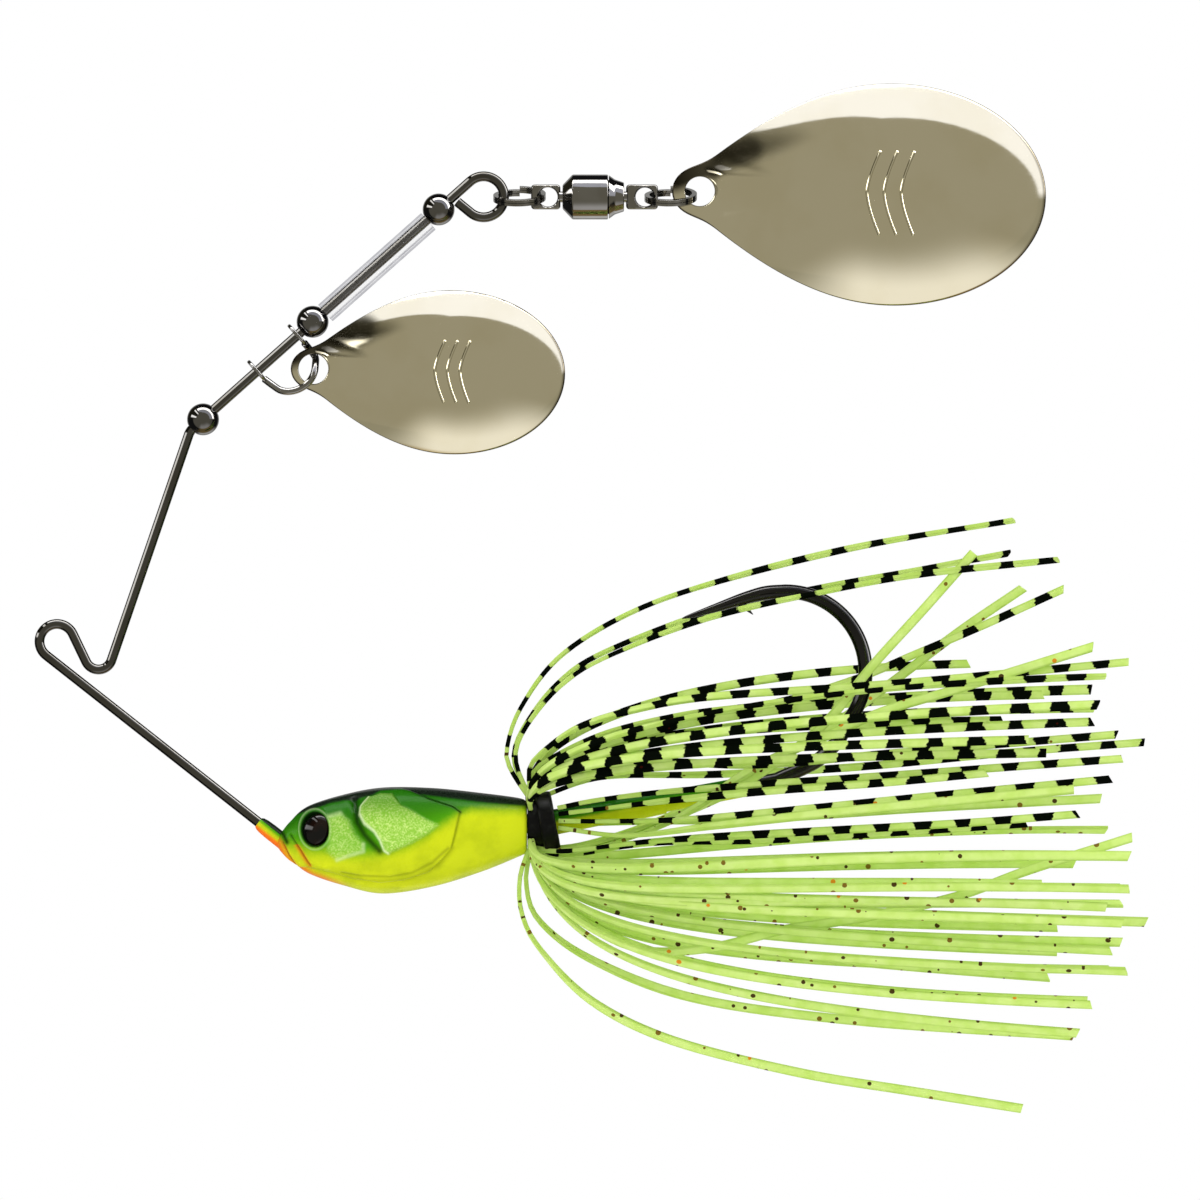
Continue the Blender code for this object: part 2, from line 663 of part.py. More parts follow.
def make_sector(name, centre_deg):
    """One eighth of the skirt: a root under the collar and the strands that leave it."""
    bm = bmesh.new()
    unit = STRAND_STEP_DEG / 4
    cuts = [-2.5, -1.5, 1.5, 2.5, 5.5, 6.5]
    edges = sorted({unit * c for c in cuts} | {-unit * c for c in cuts})
    grid = {}
    for i, offset in enumerate(edges):
        out = outwards(centre_deg + offset)
        for j, run in enumerate(ROOT_SPAN):
            for k, radius in enumerate(ROOT_R):
                grid[i, j, k] = bm.verts.new(COLLAR + SHANK * run + out * radius)
    last_i, last_j = len(edges) - 1, len(ROOT_SPAN) - 1
    strand_faces = []
    for i in range(last_i):
        for j in range(last_j):
            for k in (0, 1):
                quad = [grid[i, j, k], grid[i + 1, j, k], grid[i + 1, j + 1, k], grid[i, j + 1, k]]
                face = bm.faces.new(quad)
                if k == 1 and j == 0 and round((edges[i + 1] - edges[i]) / unit) == 3:
                    strand_faces.append((face, centre_deg + (edges[i] + edges[i + 1]) / 2))
        for j in (0, last_j):
            bm.faces.new([grid[i, j, 0], grid[i + 1, j, 0], grid[i + 1, j, 1], grid[i, j, 1]])
    for i in (0, last_i):
        for j in range(last_j):
            bm.faces.new([grid[i, j, 0], grid[i, j + 1, 0], grid[i, j + 1, 1], grid[i, j, 1]])
    for face, azimuth in strand_faces:
        extrude_strand(bm, face, azimuth)
    made = as_object(name, bm, skirt_silicone())
    set_origin(made, COLLAR + outwards(centre_deg) * 2.0)


def make_skirt():
    make_collar()
    for k in range(SECTORS):
        make_sector(f"skirt_sector_{k + 1}", 360 / SECTORS * (k + 0.5))


def main():
    clear_scene()
    make_wire()
    make_bead("bead_lower", LOWER_BEAD_AT)
    make_bead("bead_middle", MIDDLE_BEAD_AT)
    make_bead("bead_upper", UPPER_BEAD_AT)
    make_sleeve()
    make_clevis()
    make_blade("small_blade", SMALL_BLADE)
    make_blade("large_blade", LARGE_BLADE)
    make_ring("ring_front", RING_FRONT_X)
    make_ring("ring_rear", RING_REAR_X)
    make_swivel()
    make_head()
    make_eye("eye_left", -1)
    make_eye("eye_right", 1)
    make_hook()
    make_skirt()


main()
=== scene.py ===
"""A spinnerbait as it hangs in a plain white studio: the looks of every piece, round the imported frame.

Sizes are in millimetres and turn into metres in as_object(). The lure hangs in the XZ plane, with its head
at the left, its tail towards +X and the camera on the -Y side.
"""

import json
import math
import random

import bpy
import numpy as np
from mathutils import Matrix, Vector

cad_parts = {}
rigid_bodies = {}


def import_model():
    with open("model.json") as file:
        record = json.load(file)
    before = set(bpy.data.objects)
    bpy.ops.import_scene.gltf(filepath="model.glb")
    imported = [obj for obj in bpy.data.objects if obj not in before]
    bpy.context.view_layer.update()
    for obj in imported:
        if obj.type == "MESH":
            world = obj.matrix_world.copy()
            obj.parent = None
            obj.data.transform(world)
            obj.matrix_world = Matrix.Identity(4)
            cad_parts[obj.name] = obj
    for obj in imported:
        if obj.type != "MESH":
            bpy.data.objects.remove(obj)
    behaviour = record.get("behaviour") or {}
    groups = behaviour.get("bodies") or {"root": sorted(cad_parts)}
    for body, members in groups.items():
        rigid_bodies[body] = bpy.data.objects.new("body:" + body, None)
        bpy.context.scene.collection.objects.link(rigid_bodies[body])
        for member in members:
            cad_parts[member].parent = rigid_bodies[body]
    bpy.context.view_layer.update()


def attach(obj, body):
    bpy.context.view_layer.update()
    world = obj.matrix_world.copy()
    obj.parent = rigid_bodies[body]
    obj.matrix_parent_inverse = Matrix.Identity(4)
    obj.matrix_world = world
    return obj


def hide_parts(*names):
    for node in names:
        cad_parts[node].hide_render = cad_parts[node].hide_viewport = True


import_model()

MM = 0.001
draw = random.Random(7)


def vec(*xyz):
    return np.array(xyz, float)


def unit(v):
    return v / np.linalg.norm(v, axis=-1, keepdims=True)


def in_plane(angle_deg):
    """The unit vector in the XZ plane at this angle above +X."""
    angle = math.radians(angle_deg)
    return vec(math.cos(angle), 0, math.sin(angle))


def smoothstep(low, high, value):
    t = np.clip((value - low) / (high - low), 0, 1)
    return t * t * (3 - 2 * t)


def in_scene(name, data):
    """A new object that shows this data."""
    made = bpy.data.objects.new(name, data)
    bpy.context.scene.collection.objects.link(made)
    return made


# ---- dimensions shared with the CAD frame

WIRE_R = 0.5
TIE_R = 1.75
LONG_ARM_DEG, SHORT_LEG_DEG, LOWER_ARM_DEG, UPPER_ARM_DEG = -38.2, -63.5, 71.1, 41.7
U_CENTRE, U_R = (4.15, -1.43), 1.37
ARM_BEND, ARM_BEND_R = (13.3, 21.05), 1.5
LOOP_AT, LOOP_R, LOOP_TURN_DEG, TAG_LENGTH = 37.5, 2.05, 261, 1.75
BEAD_R, BEAD_BORE_R = 1.6, 0.62
BEADS_AT = {"bead_lower": 1.75, "bead_middle": 16.42, "bead_upper": 33.3}
SLEEVE_SPAN, SLEEVE_R, SLEEVE_BORE_R, SLEEVE_HANG = (17.95, 31.75), 1.1, 0.82, 0.2
CLEVIS_R, CLEVIS_EYES_AT = 0.36, (9.0, 14.4)
CLEVIS_EYE_R, CLEVIS_EYE_BORE_R, CLEVIS_EYE_THICK = 1.4, 0.66, 0.36
BLADE_THICK = 0.4
BLADES = {
    "small_blade": {"hole": (25.65, 27.25), "deg": -1.4, "length": 27.45, "half_width": 8.2,
                    "hole_in": 2.28, "hole_r": 1.5, "cup": 2.6},
    "large_blade": {"hole": (64.28, 45.0), "deg": -0.95, "length": 37.4, "half_width": 11.1,
                    "hole_in": 2.78, "hole_r": 1.47, "cup": 3.4},
}
SWIVEL_Z = 44.45
RING_OUTER_R, RING_INNER_R, RING_PITCH, RING_LEAF, RING_TILT_DEG = 2.63, 2.13, 0.34, 0.3, 17
RINGS = {"ring_front": 46.25, "ring_rear": 61.37}
SHANK_DEG = 10.5
HOOK_R = 0.72
HOOK_EYE, HOOK_EYE_R = (33.0, -21.04), 1.35
HOOK_BEND, HOOK_BEND_R = (72.85, -3.0), 8.0
EYE_AT, EYE_TILT, EYE_HALF = (26.05, 2.95, -18.8), (0.36, 1.0, 0.1), (1.43, 0.68, 1.66)
COLLAR = vec(47.9, 0, -18.28)
COLLAR_R, COLLAR_SPAN = 3.2, (0.4, 2.0)
KEEPER_DROP = 0.12

UPPER_ARM = in_plane(UPPER_ARM_DEG)
UNDER_ARM = in_plane(UPPER_ARM_DEG - 90)
SHANK = in_plane(SHANK_DEG)
OVER_SHANK = in_plane(SHANK_DEG + 90)
SIDE = vec(0, 1, 0)


def on_arm(distance):
    return vec(ARM_BEND[0], 0, ARM_BEND[1]) + UPPER_ARM * distance


# ---- shader nodes


class Nodes:
    """Short names for the shader nodes that the materials below are made of."""

    def __init__(self, owner):
        owner.use_nodes = True
        self.owner, self.tree = owner, owner.node_tree
        self.tree.nodes.clear()

    def new(self, kind, inputs=None, **settings):
        node = self.tree.nodes.new(kind)
        for key, value in settings.items():
            setattr(node, key, value)
        for key, value in (inputs or {}).items():
            self.feed(node.inputs[key], value)
        return node

    def feed(self, socket, value):
        if isinstance(value, bpy.types.NodeSocket):
            self.tree.links.new(value, socket)
        elif socket.type == "RGBA" and len(value) == 3:
            socket.default_value = (*value, 1)
        else:
            socket.default_value = value

    def math(self, operation, a, b=0.0, c=0.0):
        node = self.new("ShaderNodeMath", operation=operation)
        for socket, value in zip(node.inputs, (a, b, c)):
            self.feed(socket, value)
        return node.outputs[0]

    def plus(self, a, b):
        return self.math("ADD", a, b)

    def times(self, a, b):
        return self.math("MULTIPLY", a, b)

    def sway(self, value, size):
        """A value from 0 to 1 as a push either way, size from end to end."""
        return self.times(self.math("SUBTRACT", value, 0.5), size)

    def ramp(self, value, low, high, start=0.0, end=1.0):
        """start below low, end above high and a smooth step between."""
        node = self.new("ShaderNodeMapRange", interpolation_type="SMOOTHSTEP")
        for key, v in zip(("Value", "From Min", "From Max", "To Min", "To Max"), (value, low, high, start, end)):
            self.feed(node.inputs[key], v)
        return node.outputs["Result"]

    def mix(self, share, a, b, blend="MIX"):
        node = self.new("ShaderNodeMix", data_type="RGBA", blend_type=blend)
        self.feed(node.inputs["Factor"], share)
        self.feed(node.inputs[6], a)
        self.feed(node.inputs[7], b)
        return node.outputs[2]

    def scaled(self, vector, factors):
        return self.new("ShaderNodeMapping", {"Vector": vector, "Scale": factors}).outputs[0]

    def noise(self, vector, scale, detail=3.0, roughness=0.5):
        inputs = {"Vector": vector, "Scale": scale, "Detail": detail, "Roughness": roughness}
        return self.new("ShaderNodeTexNoise", inputs).outputs["Fac"]

    def attribute(self, name):
        return self.new("ShaderNodeAttribute", attribute_name=name).outputs["Fac"]

    def bump(self, height, strength, distance):
        inputs = {"Height": height, "Strength": strength, "Distance": distance}
        return self.new("ShaderNodeBump", inputs).outputs["Normal"]

    def object_coords(self):
        return self.new("ShaderNodeTexCoord").outputs["Object"]

    def split(self, vector):
        return self.new("ShaderNodeSeparateXYZ", {"Vector": vector}).outputs

    def principled(self, inputs):
        return self.new("ShaderNodeBsdfPrincipled", inputs).outputs[0]

    def mix_shaders(self, share, a, b):
        return self.new("ShaderNodeMixShader", {0: share, 1: a, 2: b}).outputs[0]

    def finish(self, shader):
        """Shows the shader, and gives the material back."""
        self.new("ShaderNodeOutputMaterial", {"Surface": shader})
        return self.owner


def new_skin(name):
    return Nodes(bpy.data.materials.new(name))


# the colour of the painted shade by a blade's hole: a dark reflection painted into the plating
BLADE_SHADE_COLOUR = (0.025, 0.021, 0.014)


def metal(name, colour, stain, roughness, grain=(1, 1, 1), grain_scale=900.0, grain_depth=2e-6, cut=None):
    """A plated metal: its colour drifts a little towards stain, and its polish varies along fine drawn lines.

    cut is the colour of a sheet's sheared edge, where the mask rim is 1. Where the mask painted_shade is 1 the sheet
    is painted dark: painted shade that stands for a dark reflection.
    """
    n = new_skin(name)
    at = n.object_coords()
    drift = n.ramp(n.noise(at, 160.0), 0.42, 0.7)
    lines = n.noise(n.scaled(at, grain), grain_scale, 4.0, 0.6)
    plating = n.mix(drift, colour, stain)
    if cut:
        plating = n.mix(n.attribute("rim"), plating, cut)
        # painted shade: a dark reflection painted on the blade beside its hole, which also dims the glints there
        plating = n.mix(n.attribute("painted_shade"), plating, BLADE_SHADE_COLOUR)
    return n.finish(n.principled({
        "Base Color": plating,
        "Metallic": 1.0,
        "Roughness": n.ramp(lines, 0.3, 0.75, *roughness),
        "Normal": n.bump(lines, 0.35, grain_depth),
    }))


def clear_tube():
    """Clear soft tube: open to the light face on, and grey where the wall is seen along its length."""
    n = new_skin("clear_tube")
    cloud = n.noise(n.object_coords(), 700.0)
    facing = n.new("ShaderNodeLayerWeight", {"Blend": 0.5}).outputs["Facing"]
    wall = n.mix(n.ramp(cloud, 0.35, 0.7), (0.7, 0.7, 0.72), (0.77, 0.77, 0.785))
    seen = n.mix(n.ramp(facing, 0.27, 0.5), (0.985, 0.985, 0.985), wall)
    clear = n.new("ShaderNodeBsdfTransparent", {"Color": seen}).outputs[0]
    return n.finish(n.mix_shaders(0.02, clear, n.principled({"Base Color": wall, "Roughness": 0.06})))


BACK_BLACK = (0.006, 0.012, 0.006)
BACK_GREEN = (0.012, 0.125, 0.001)
FLANK_GREEN = (0.085, 0.36, 0.005)
PLATE_GREEN = (0.30, 0.58, 0.06)
PLATE_PEARL = (0.68, 0.86, 0.26)
BELLY = (0.585, 0.66, 0.01)
BELLY_SHADE = (0.48, 0.56, 0.008)
THROAT = (0.86, 0.16, 0.012)


def head_paint():
    """Sprayed bands from black back to yellow belly, with a pearl on the gill plates, under a clear coat; painted
    highlights along the plate edges and painted shade in the grooves.
    """
    n = new_skin("head_paint")
    at = n.object_coords()
    spray = n.noise(at, 2600.0, 4.0, 0.7)
    sparkle = n.noise(at, 5200.0, 2.0, 0.6)
    mottle = n.noise(at, 420.0, 3.0)
    back = n.plus(n.attribute("back"), n.sway(spray, 0.35))
    belly = n.plus(n.attribute("belly"), n.sway(spray, 0.3))
    green = n.mix(n.ramp(n.attribute("flank"), 0.0, 1.0), BACK_GREEN, FLANK_GREEN)
    yellow = n.mix(n.ramp(mottle, 0.4, 0.72), BELLY, BELLY_SHADE)
    colour = n.mix(n.ramp(belly, 0.0, 1.0), green, yellow)
    pearl = n.mix(n.ramp(sparkle, 0.38, 0.78), PLATE_GREEN, PLATE_PEARL)
    colour = n.mix(n.times(n.attribute("plate"), 0.9), colour, pearl)
    colour = n.mix(n.ramp(back, 0.25, 0.75), colour, BACK_BLACK)
    colour = n.mix(n.attribute("throat"), colour, THROAT)
    # painted shade in the grooves and folds, along the gill cover's edges and in the eye's socket
    colour = n.mix(n.attribute("crease_shade"), colour, (0.02, 0.05, 0.004), "MULTIPLY")
    # painted highlights: pale lines along the gill plate's front edge, the cheek's edges and the eye's rim
    colour = n.mix(n.attribute("edge"), colour, (0.80, 0.95, 0.52))
    return n.finish(n.principled({
        "Base Color": colour,
        "Roughness": n.ramp(sparkle, 0.3, 0.8, 0.24, 0.4),
        "Specular IOR Level": 0.05,
        "Coat Weight": 0.04,
        "Coat Roughness": 0.05,
        "Normal": n.bump(n.noise(at, 900.0, 2.0), 0.12, 2e-5),
    }))


def eye_gloss():
    n = new_skin("eye_gloss")
    depth = n.noise(n.object_coords(), 800.0)
    return n.finish(n.principled({
        "Base Color": n.mix(n.ramp(depth, 0.4, 0.7), (0.002, 0.002, 0.002), (0.008, 0.003, 0.002)),
        "Roughness": n.ramp(depth, 0.3, 0.7, 0.02, 0.05),
        "Specular IOR Level": 0.3,
    }))


def black_rubber():
    n = new_skin("collar_rubber")
    dust = n.noise(n.object_coords(), 1600.0, 4.0, 0.7)
    return n.finish(n.principled({
        "Base Color": n.mix(n.ramp(dust, 0.5, 0.8), (0.003, 0.003, 0.003), (0.012, 0.013, 0.011)),
        "Roughness": n.ramp(dust, 0.3, 0.8, 0.35, 0.6),
        "Specular IOR Level": 0.12,
        "Normal": n.bump(dust, 0.3, 3e-5),
    }))


STRAND_LIGHT = (0.76, 0.93, 0.31)
STRAND_DEEP = (0.65, 0.86, 0.2)
# the colour of the painted shade along a strand's edges
STRAND_EDGE_SHADE = (0.38, 0.57, 0.08)
BAR_BLACK = (0.003, 0.0045, 0.0025)
FLECK_DARK, FLECK_BROWN, FLECK_ORANGE = (0.05, 0.006, 0.003), (0.22, 0.11, 0.012), (0.8, 0.25, 0.01)
BAR_PITCH = 4.0
BAR_HALF = (0.36, 0.62)  # half a bar's length at one edge of the strand and at the other, in mm


def silicone(name, barred):
    """Soft chartreuse silicone. UV is in mm: along the strand, and across it from its middle."""
    n = new_skin(name)
    uv = n.new("ShaderNodeUVMap", uv_map="along").outputs[0]
    along, across, _ = n.split(uv)
    at = n.object_coords()
    cloud = n.noise(n.scaled(uv, (0.5, 0.5, 1)), 0.9, 3.0)
    rim = n.ramp(n.math("ABSOLUTE", across), 0.24, 0.46)
    colour = n.mix(n.ramp(cloud, 0.35, 0.7), STRAND_LIGHT, STRAND_DEEP)
    # painted shade: each strand darker and greener towards its edges
    colour = n.mix(n.times(rim, 0.5), colour, STRAND_EDGE_SHADE)
    if barred:
        rough_edge = n.sway(n.noise(uv, 3.4, 3.0), 0.5)
        shift = n.sway(n.noise(n.scaled(uv, (0.25, 0, 1)), 1.0, 1.0), 1.2)
        place = n.plus(n.plus(along, shift), rough_edge)
        saw = n.math("PINGPONG", place, BAR_PITCH / 2)
        half = n.ramp(across, -0.5, 0.5, BAR_HALF[0] + 0.35, BAR_HALF[1] + 0.35)
        bar = n.ramp(n.math("SUBTRACT", half, saw), -0.05, 0.05)
        colour = n.mix(bar, colour, BAR_BLACK)
    cells = n.new("ShaderNodeTexVoronoi", {"Vector": uv, "Scale": 0.4 if barred else 0.85}).outputs
    size_pick, shown_pick, tint_pick = n.split(cells["Color"])
    reach = 0.08 if barred else n.ramp(size_pick, 0.0, 1.0, 0.15, 0.23)
    fleck = n.times(n.math("LESS_THAN", cells["Distance"], reach), n.math("GREATER_THAN", shown_pick, 0.35))
    dark = n.mix(n.ramp(tint_pick, 0.3, 0.8), FLECK_DARK, FLECK_BROWN)
    tint = n.mix(n.math("GREATER_THAN", tint_pick, 0.985), dark, FLECK_ORANGE)
    colour = n.mix(n.times(fleck, 0.95), colour, tint)
    skin = n.principled({
        "Base Color": colour,
        "Roughness": n.ramp(n.noise(at, 1500.0), 0.3, 0.7, 0.45, 0.6),
        "Specular IOR Level": 0.0,
    })
    glow = n.new("ShaderNodeBsdfTranslucent", {"Color": colour}).outputs[0]
    return n.finish(n.mix_shaders(0.3, skin, glow))


# ---- meshes


class Shape:
    """Points, faces, UVs and point masks that several builders add to before they become one object."""

    def __init__(self):
        self.points, self.faces, self.slots, self.uv, self.masks = [], [], [], [], {}
        self.count = 0

    def add(self, rings, wrap=False, ends=True, slot=0, uv=(), masks=None):
        """A tube through rings of points: wrapped round to its start, or with a lid at each end.

        A mask is a function of the points, or its values at them.
        """
        rings = np.asarray(rings, float)
        points = rings.reshape(-1, 3)
        faces = turned_out(points, tube_faces(*rings.shape[:2], wrap, ends and not wrap))
        self.faces += [tuple(i + self.count for i in face) for face in faces]
        self.slots += [slot] * len(faces)
        self.uv += uv
        for key, mask in (masks or {}).items():
            values = mask(points) if callable(mask) else mask.ravel()
            self.masks.setdefault(key, []).append((self.count, values))
        self.points.append(points)
        self.count += len(points)

    def as_object(self, name, body, node, *skins, sharp_deg=38.0):
        """The object, on this body of the frame, in place of this node of it."""
        mesh = bpy.data.meshes.new(name)
        mesh.from_pydata((np.concatenate(self.points) * MM).tolist(), [], self.faces)
        mesh.polygons.foreach_set("material_index", self.slots)
        mesh.shade_smooth()
        if sharp_deg:
            mesh.set_sharp_from_angle(angle=math.radians(sharp_deg))
        if self.uv:
            layer = mesh.uv_layers.new(name="along")
            layer.data.foreach_set("uv", [v for loop in mesh.loops for v in self.uv[loop.vertex_index]])
        for key, runs in self.masks.items():
            values = np.zeros(self.count)
            for start, run in runs:
                values[start:start + len(run)] = run
            mesh.attributes.new(key, "FLOAT", "POINT").data.foreach_set("value", values)
        for skin in skins:
            mesh.materials.append(skin)
        mesh.validate()
        made = in_scene(name, mesh)
        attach(made, body)
        if node:
            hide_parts(node)


def tube_faces(rows, columns, wrap, ends):
    faces = []
    for i in range(rows if wrap else rows - 1):
        k = (i + 1) % rows
        for j in range(columns):
            m = (j + 1) % columns
            faces.append((i * columns + j, i * columns + m, k * columns + m, k * columns + j))
    if ends:
        faces += [tuple(range(columns))[::-1], tuple(range((rows - 1) * columns, rows * columns))]
    return faces


def turned_out(points, faces):
    """The faces in the order that makes the closed mesh's volume positive."""
    corners = np.array([(face[0], b, c) for face in faces for b, c in zip(face[1:], face[2:])])
    a, b, c = points[corners].transpose(1, 0, 2)
    return faces if (a * np.cross(b, c)).sum() > 0 else [face[::-1] for face in faces]


def arc(centre, radius, start_deg, end_deg, steps):
    middle = vec(centre[0], 0, centre[1])
    turn = end_deg - start_deg
    return [middle + in_plane(start_deg + turn * k / steps) * radius for k in range(steps + 1)]


def rounded(points, radius, steps=10):
    """The polyline with each inner corner replaced by an arc of this radius."""
    path = [points[0]]
    for before, corner, after in zip(points, points[1:], points[2:]):
        back, on = unit(before - corner), unit(after - corner)
        half = math.acos(max(-1, min(1, back @ on))) / 2
        centre = corner + unit(back + on) * radius / math.sin(half)
        spoke = corner + back * radius / math.tan(half) - centre
        axis = Vector(np.cross(back, on))
        for k in range(steps + 1):
            turn = Matrix.Rotation(-(math.pi - 2 * half) * k / steps, 3, axis)
            path.append(centre + np.array(turn @ Vector(spoke)))
    return path + [points[-1]]


def smooth(points, steps=8):
    """A Catmull-Rom curve through the points."""
    points = [np.asarray(p, float) for p in points]
    ends = [points[0] * 2 - points[1], *points, points[-1] * 2 - points[-2]]
    path = []
    for a, b, c, d in zip(ends, ends[1:], ends[2:], ends[3:]):
        for k in range(steps):
            t = k / steps
            path.append((b * 2 + (c - a) * t + (a * 2 - b * 5 + c * 4 - d) * t**2
                         + (b * 3 - a - c * 3 + d) * t**3) / 2)
    return path + [points[-1]]


def bezier(a, b, c, d, steps):
    t = np.linspace(0, 1, steps + 1)[:, None]
    s = 1 - t
    return a * s**3 + b * 3 * s**2 * t + c * 3 * s * t**2 + d * t**3


def distances(path):
    """How far along the path each of its points is."""
    return np.concatenate([[0], np.cumsum(np.linalg.norm(np.diff(path, axis=0), axis=1))])


def resampled(path, count):
    """count points at even distances along the path, and the distance of each."""
    path = np.asarray(path, float)
    along = distances(path)
    at = np.linspace(0, along[-1], count)
    return np.stack([np.interp(at, along, column) for column in path.T], axis=1), at


def spaced_round(outline, count):
    """count points at even distances round the closed outline."""
    return resampled([*outline, outline[0]], count + 1)[0][:-1]


def carried_frames(path, across):
    """Headings along the path, and the starting cross direction carried along it without twist."""
    path = np.asarray(path, float)
    ends = np.concatenate([[path[0] * 2 - path[1]], path, [path[-1] * 2 - path[-2]]])
    heading = unit(ends[2:] - ends[:-2])
    sides = []
    for ahead in heading:
        across = unit(across - ahead * (across @ ahead))
        sides.append(across)
    sides = np.array(sides)
    return heading, sides, np.cross(heading, sides)


def bar(shape, path, radius, sides, soften=0.12, masks=None):
    """A round bar along the path, with softened ends. radius is a number or one for each point."""
    path = np.asarray(path, float)
    radii = radius * np.ones(len(path))
    first = unit(path[1] - path[0])
    last = unit(path[-1] - path[-2])
    path = np.concatenate([[path[0]], [path[0] + first * soften * 0.4], path[1:-1],
                           [path[-1] - last * soften * 0.4], [path[-1]]])
    radii = np.concatenate([[radii[0] * 0.8], [radii[0]], radii[1:-1], [radii[-1]], [radii[-1] * 0.8]])
    start = vec(0, 1, 0) if abs(first[1]) < 0.9 else vec(1, 0, 0)
    _, a, b = carried_frames(path, start)
    angles = 2 * np.pi * np.arange(sides) / sides
    spokes = np.cos(angles)[None, :, None] * a[:, None] + np.sin(angles)[None, :, None] * b[:, None]
    shape.add(path[:, None] + spokes * radii[:, None, None], masks=masks)


def softened(profile, radius, closed=True, steps=3):
    """A lathe profile with its corners rounded, as far as the neighbouring edges allow."""
    pts = [np.array(p, float) for p in profile]
    count = len(pts)
    made = []
    for i, corner in enumerate(pts):
        if not closed and i in (0, count - 1):
            made.append(corner)
            continue
        before, after = pts[i - 1] - corner, pts[(i + 1) % count] - corner
        cut = min(radius, 0.45 * np.linalg.norm(before), 0.45 * np.linalg.norm(after))
        start, end = corner + unit(before) * cut, corner + unit(after) * cut
        for k in range(steps + 1):
            t = k / steps
            made.append(start * (1 - t)**2 + corner * 2 * t * (1 - t) + end * t**2)
    return made


def tube_profile(start, end, bore_r, outer_r, corner, steps=3):
    """A lathe profile for a short tube with rounded corners."""
    return softened([(start, bore_r), (start, outer_r), (end, outer_r), (end, bore_r)], corner, steps=steps)


def lathe(shape, profile, centre, axis, sides=48, closed=True, masks=None):
    """The profile, as (distance along axis, radius), turned about the axis."""
    axis = unit(np.asarray(axis, float))
    up = unit(np.cross(axis, SIDE))
    angles = 2 * np.pi * (np.arange(sides) + 0.5) / sides
    spokes = np.cos(angles)[:, None] * up + np.sin(angles)[:, None] * np.cross(axis, up)
    shape.add([centre + axis * x + spokes * r for x, r in profile], wrap=closed, ends=False, masks=masks)


PAINTED_SHADE_FROM, PAINTED_SHADE_RUN = (-2.6, 1.3), (7.4, 3.0)  # the painted shade by the hole, a dark reflection, starts here and runs this far
PAINTED_SHADE_REACH = (2.0, 0.7)


def plate(shape, outline, hole_r, thick, depth, place, rows=60, soft=0.12):
    """A sheet with one hole, from points (u, v) round its outline about the hole's centre.

    depth(u, v) moves the sheet out along local -Y, and place() takes local points to the object's frame.
    """
    heading = unit(outline)
    inner = heading * hole_r
    span = np.linalg.norm(outline - inner, axis=1)
    run = unit(outline - inner)
    share = (1 - np.cos(np.pi * np.linspace(0, 1, rows))) / 2 * 0.5 + np.linspace(0, 1, rows) * 0.5
    curl = np.linspace(-np.pi / 2, np.pi / 2, 7)[1:-1]
    half = thick / 2
    columns = [(soft + (span - 2 * soft) * s, -half) for s in share]
    columns += [(span - soft + soft * math.cos(c), half * math.sin(c)) for c in curl]
    columns += [(soft + (span - 2 * soft) * s, half) for s in share[::-1]]
    columns += [(soft - soft * math.cos(c), -half * math.sin(c)) for c in curl]
    rings, edge, painted_shade = [], [], []
    for s, y in columns:
        s = s * np.ones(len(outline))
        u, v = (inner + run * s[:, None]).T
        rings.append(np.stack([u, y - depth(u, v), v], axis=1))
        edge.append(smoothstep(0.22, 0.08, span - s))
        # painted shade: a soft dark band along the sheet's upper edge by the hole, standing for a dark reflection
        du, dv = u - PAINTED_SHADE_FROM[0], v - PAINTED_SHADE_FROM[1]
        beside = np.clip((du * PAINTED_SHADE_RUN[0] + dv * PAINTED_SHADE_RUN[1]) / math.hypot(*PAINTED_SHADE_RUN) ** 2, 0, 1)
        off = np.hypot(du - PAINTED_SHADE_RUN[0] * beside, dv - PAINTED_SHADE_RUN[1] * beside)
        painted_shade.append(smoothstep(*PAINTED_SHADE_REACH, off) * (1 - 0.3 * beside))
    shape.add(place(np.array(rings)), wrap=True, masks={"rim": np.array(edge), "painted_shade": np.array(painted_shade)})


def placed(hole, deg):
    """Takes points of a plate to the frame: local X along deg in the XZ plane, local origin at the hole."""
    ahead, up = in_plane(deg), in_plane(deg + 90)
    origin = vec(hole[0], 0, hole[1])
    return lambda p: origin + p[..., :1] * ahead + p[..., 1:2] * SIDE + p[..., 2:] * up


# ---- skins

black_nickel = metal("black_nickel", (0.12, 0.117, 0.11), (0.09, 0.085, 0.074), (0.04, 0.09))
bead_nickel = metal("bead_nickel", (0.17, 0.167, 0.163), (0.13, 0.125, 0.112), (0.03, 0.07))
bright_nickel = metal("bright_nickel", (0.27, 0.265, 0.255), (0.2, 0.19, 0.17), (0.04, 0.09))
clevis_nickel = metal("clevis_nickel", (0.3, 0.295, 0.285), (0.2, 0.19, 0.175), (0.05, 0.1))
hook_black = metal("hook_black", (0.045, 0.044, 0.044), (0.025, 0.025, 0.026), (0.1, 0.2))
pale_gold = metal("pale_gold", (0.83, 0.775, 0.585), (0.8, 0.74, 0.54), (0.045, 0.085), (0.35, 1, 3.0), 1500.0, 1e-6,
                  cut=(0.085, 0.062, 0.032))
tube_skin = clear_tube()
paint = head_paint()
eye_skin = eye_gloss()
rubber = black_rubber()
barred_skin = silicone("skirt_barred", True)
flecked_skin = silicone("skirt_flecked", False)


# ---- wire, beads, sleeve and clevis


